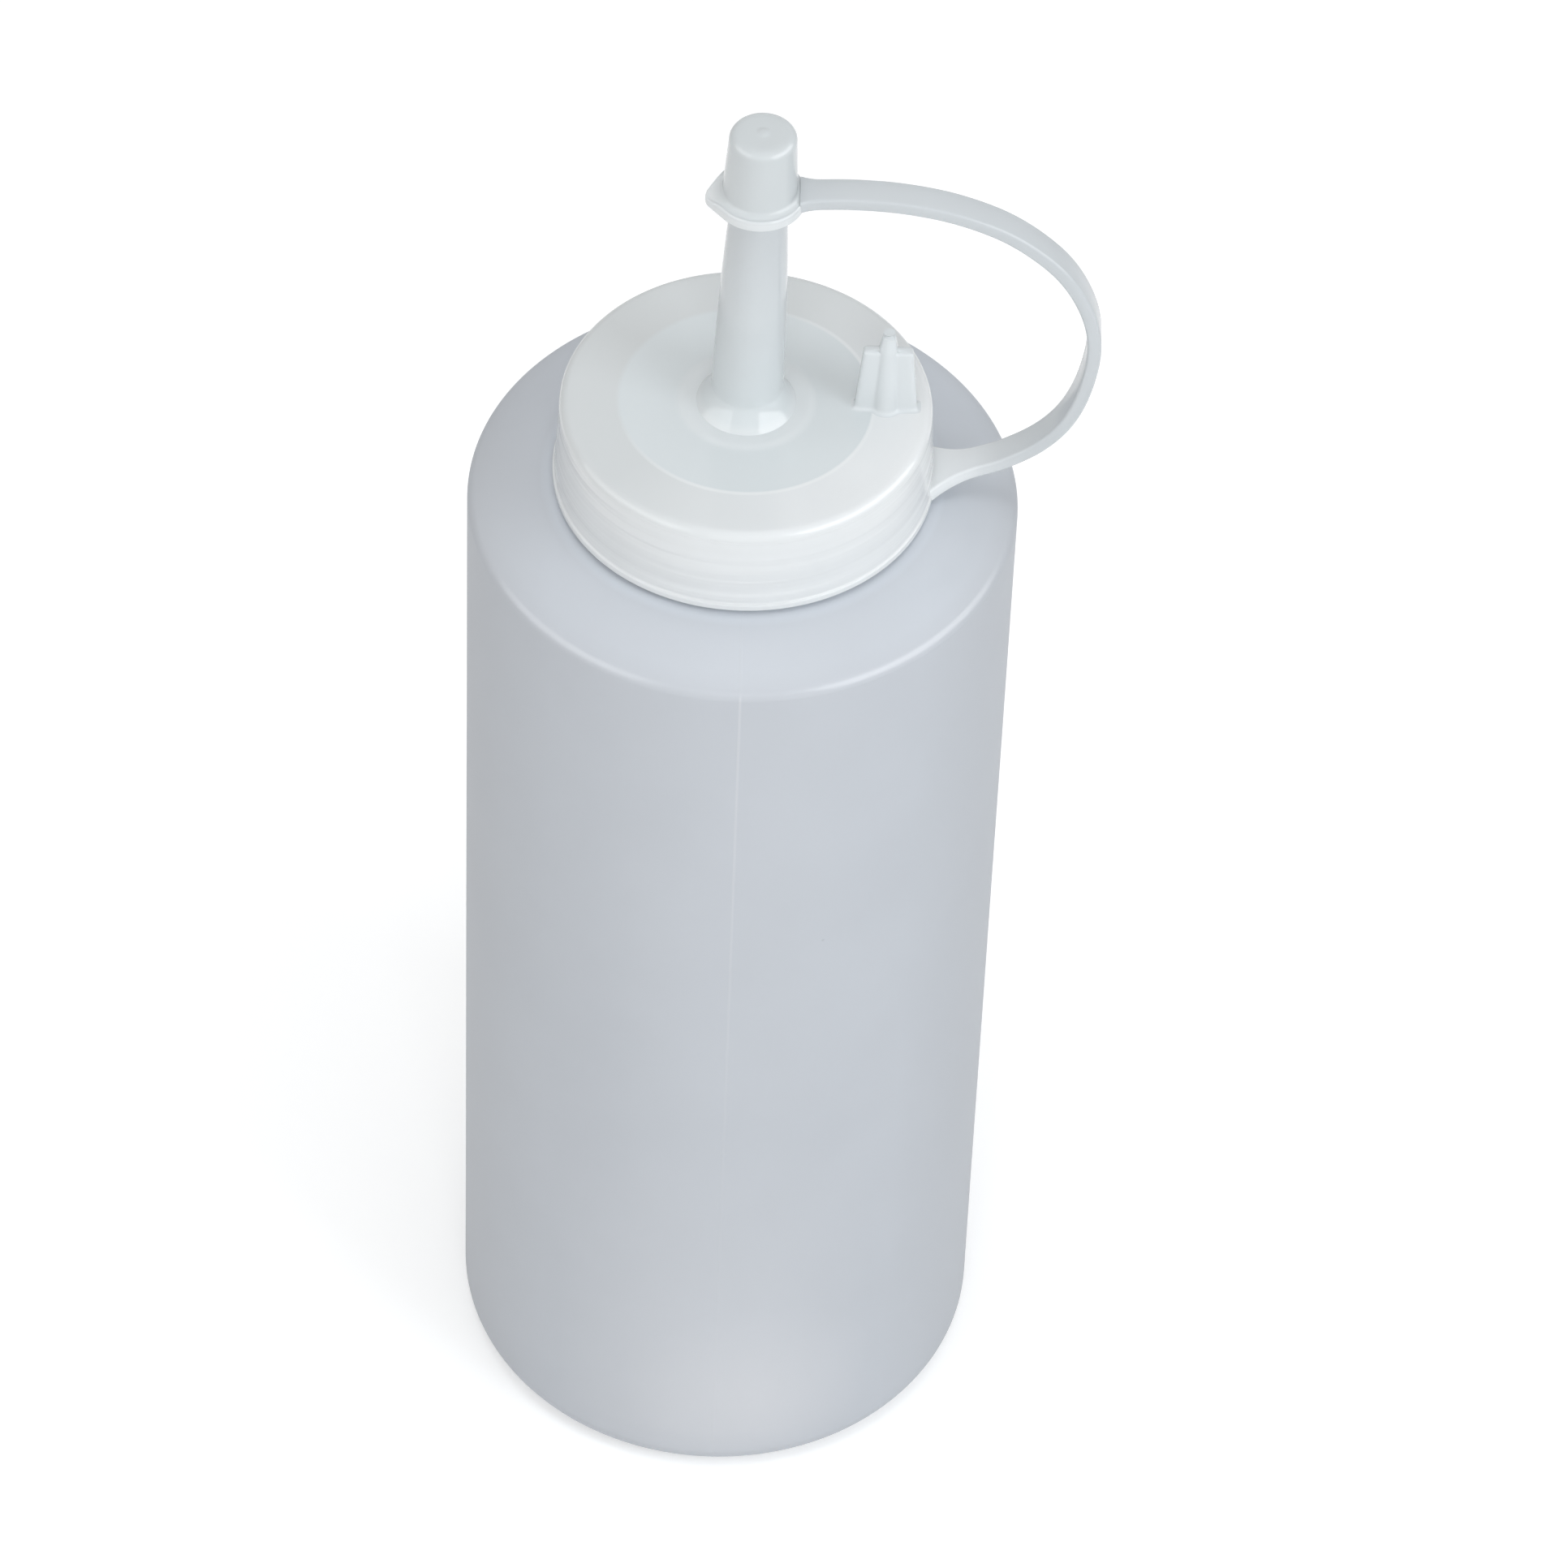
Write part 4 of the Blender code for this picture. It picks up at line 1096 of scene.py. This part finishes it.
class SQUEEZE_BOTTLE_OT_stage(bpy.types.Operator):
    """Make the floor, the light and the camera"""
    bl_idname = "squeeze_bottle.stage"
    bl_label = "Set the stage"

    def execute(self, context):
        look = context.scene.stage_look
        context.scene.view_settings.view_transform = "Standard"
        add_floor(look)
        add_room(look)
        add_lamp("left_lamp", -60, 32, look.left_power, (1.0, 0.99, 0.97))
        add_lamp("right_lamp", 55, 33, look.right_power, (0.89, 0.95, 1.0))
        add_lamp("top_lamp", 0, 86, look.top_power, (0.95, 0.98, 1.0))
        add_lamp("front_lamp", 0, 25, look.front_power, (0.97, 0.99, 1.0))
        add_lamp("left_card", -66, 24, look.left_card, WHITE, 1.35, 0.85, card=True)
        add_lamp("right_card", 70, 24, look.right_card, WHITE, 1.70, 0.85, card=True)
        add_camera(look)
        return {"FINISHED"}


class SQUEEZE_BOTTLE_PT_panel(bpy.types.Panel):
    """Lists the pieces of the bottle"""
    bl_idname = "SQUEEZE_BOTTLE_PT_panel"
    bl_label = "Squeeze bottle"
    bl_space_type = "VIEW_3D"
    bl_region_type = "UI"
    bl_category = "Squeeze bottle"

    def draw(self, context):
        for operator in OPERATORS:
            self.layout.operator(operator.bl_idname)


GROUPS = {
    "bottle_sizes": BottleSizes,
    "thread_sizes": ThreadSizes,
    "cap_sizes": CapSizes,
    "peg_sizes": PegSizes,
    "tip_sizes": TipSizes,
    "strap_sizes": StrapSizes,
    "plastic_look": PlasticLook,
    "stage_look": StageLook,
}
OPERATORS = (
    SQUEEZE_BOTTLE_OT_stage,
    SQUEEZE_BOTTLE_OT_bottle,
    SQUEEZE_BOTTLE_OT_seal,
    SQUEEZE_BOTTLE_OT_screw_cap,
    SQUEEZE_BOTTLE_OT_tip_cap,
    SQUEEZE_BOTTLE_OT_strap,
)


def register():
    """Add the classes and the scene's groups of values."""
    for item in (*GROUPS.values(), *OPERATORS, SQUEEZE_BOTTLE_PT_panel):
        bpy.utils.register_class(item)
    for name, group in GROUPS.items():
        setattr(bpy.types.Scene, name, bpy.props.PointerProperty(type=group))


def unregister():
    """Take them away again."""
    for name in GROUPS:
        delattr(bpy.types.Scene, name)
    for item in (SQUEEZE_BOTTLE_PT_panel, *reversed(OPERATORS), *reversed(GROUPS.values())):
        bpy.utils.unregister_class(item)


def main():
    """Make every piece in order."""
    register()
    bpy.ops.squeeze_bottle.stage()
    bpy.ops.squeeze_bottle.bottle()
    bpy.ops.squeeze_bottle.seal()
    bpy.ops.squeeze_bottle.screw_cap()
    bpy.ops.squeeze_bottle.tip_cap()
    bpy.ops.squeeze_bottle.strap()


if __name__ == "__main__":
    main()
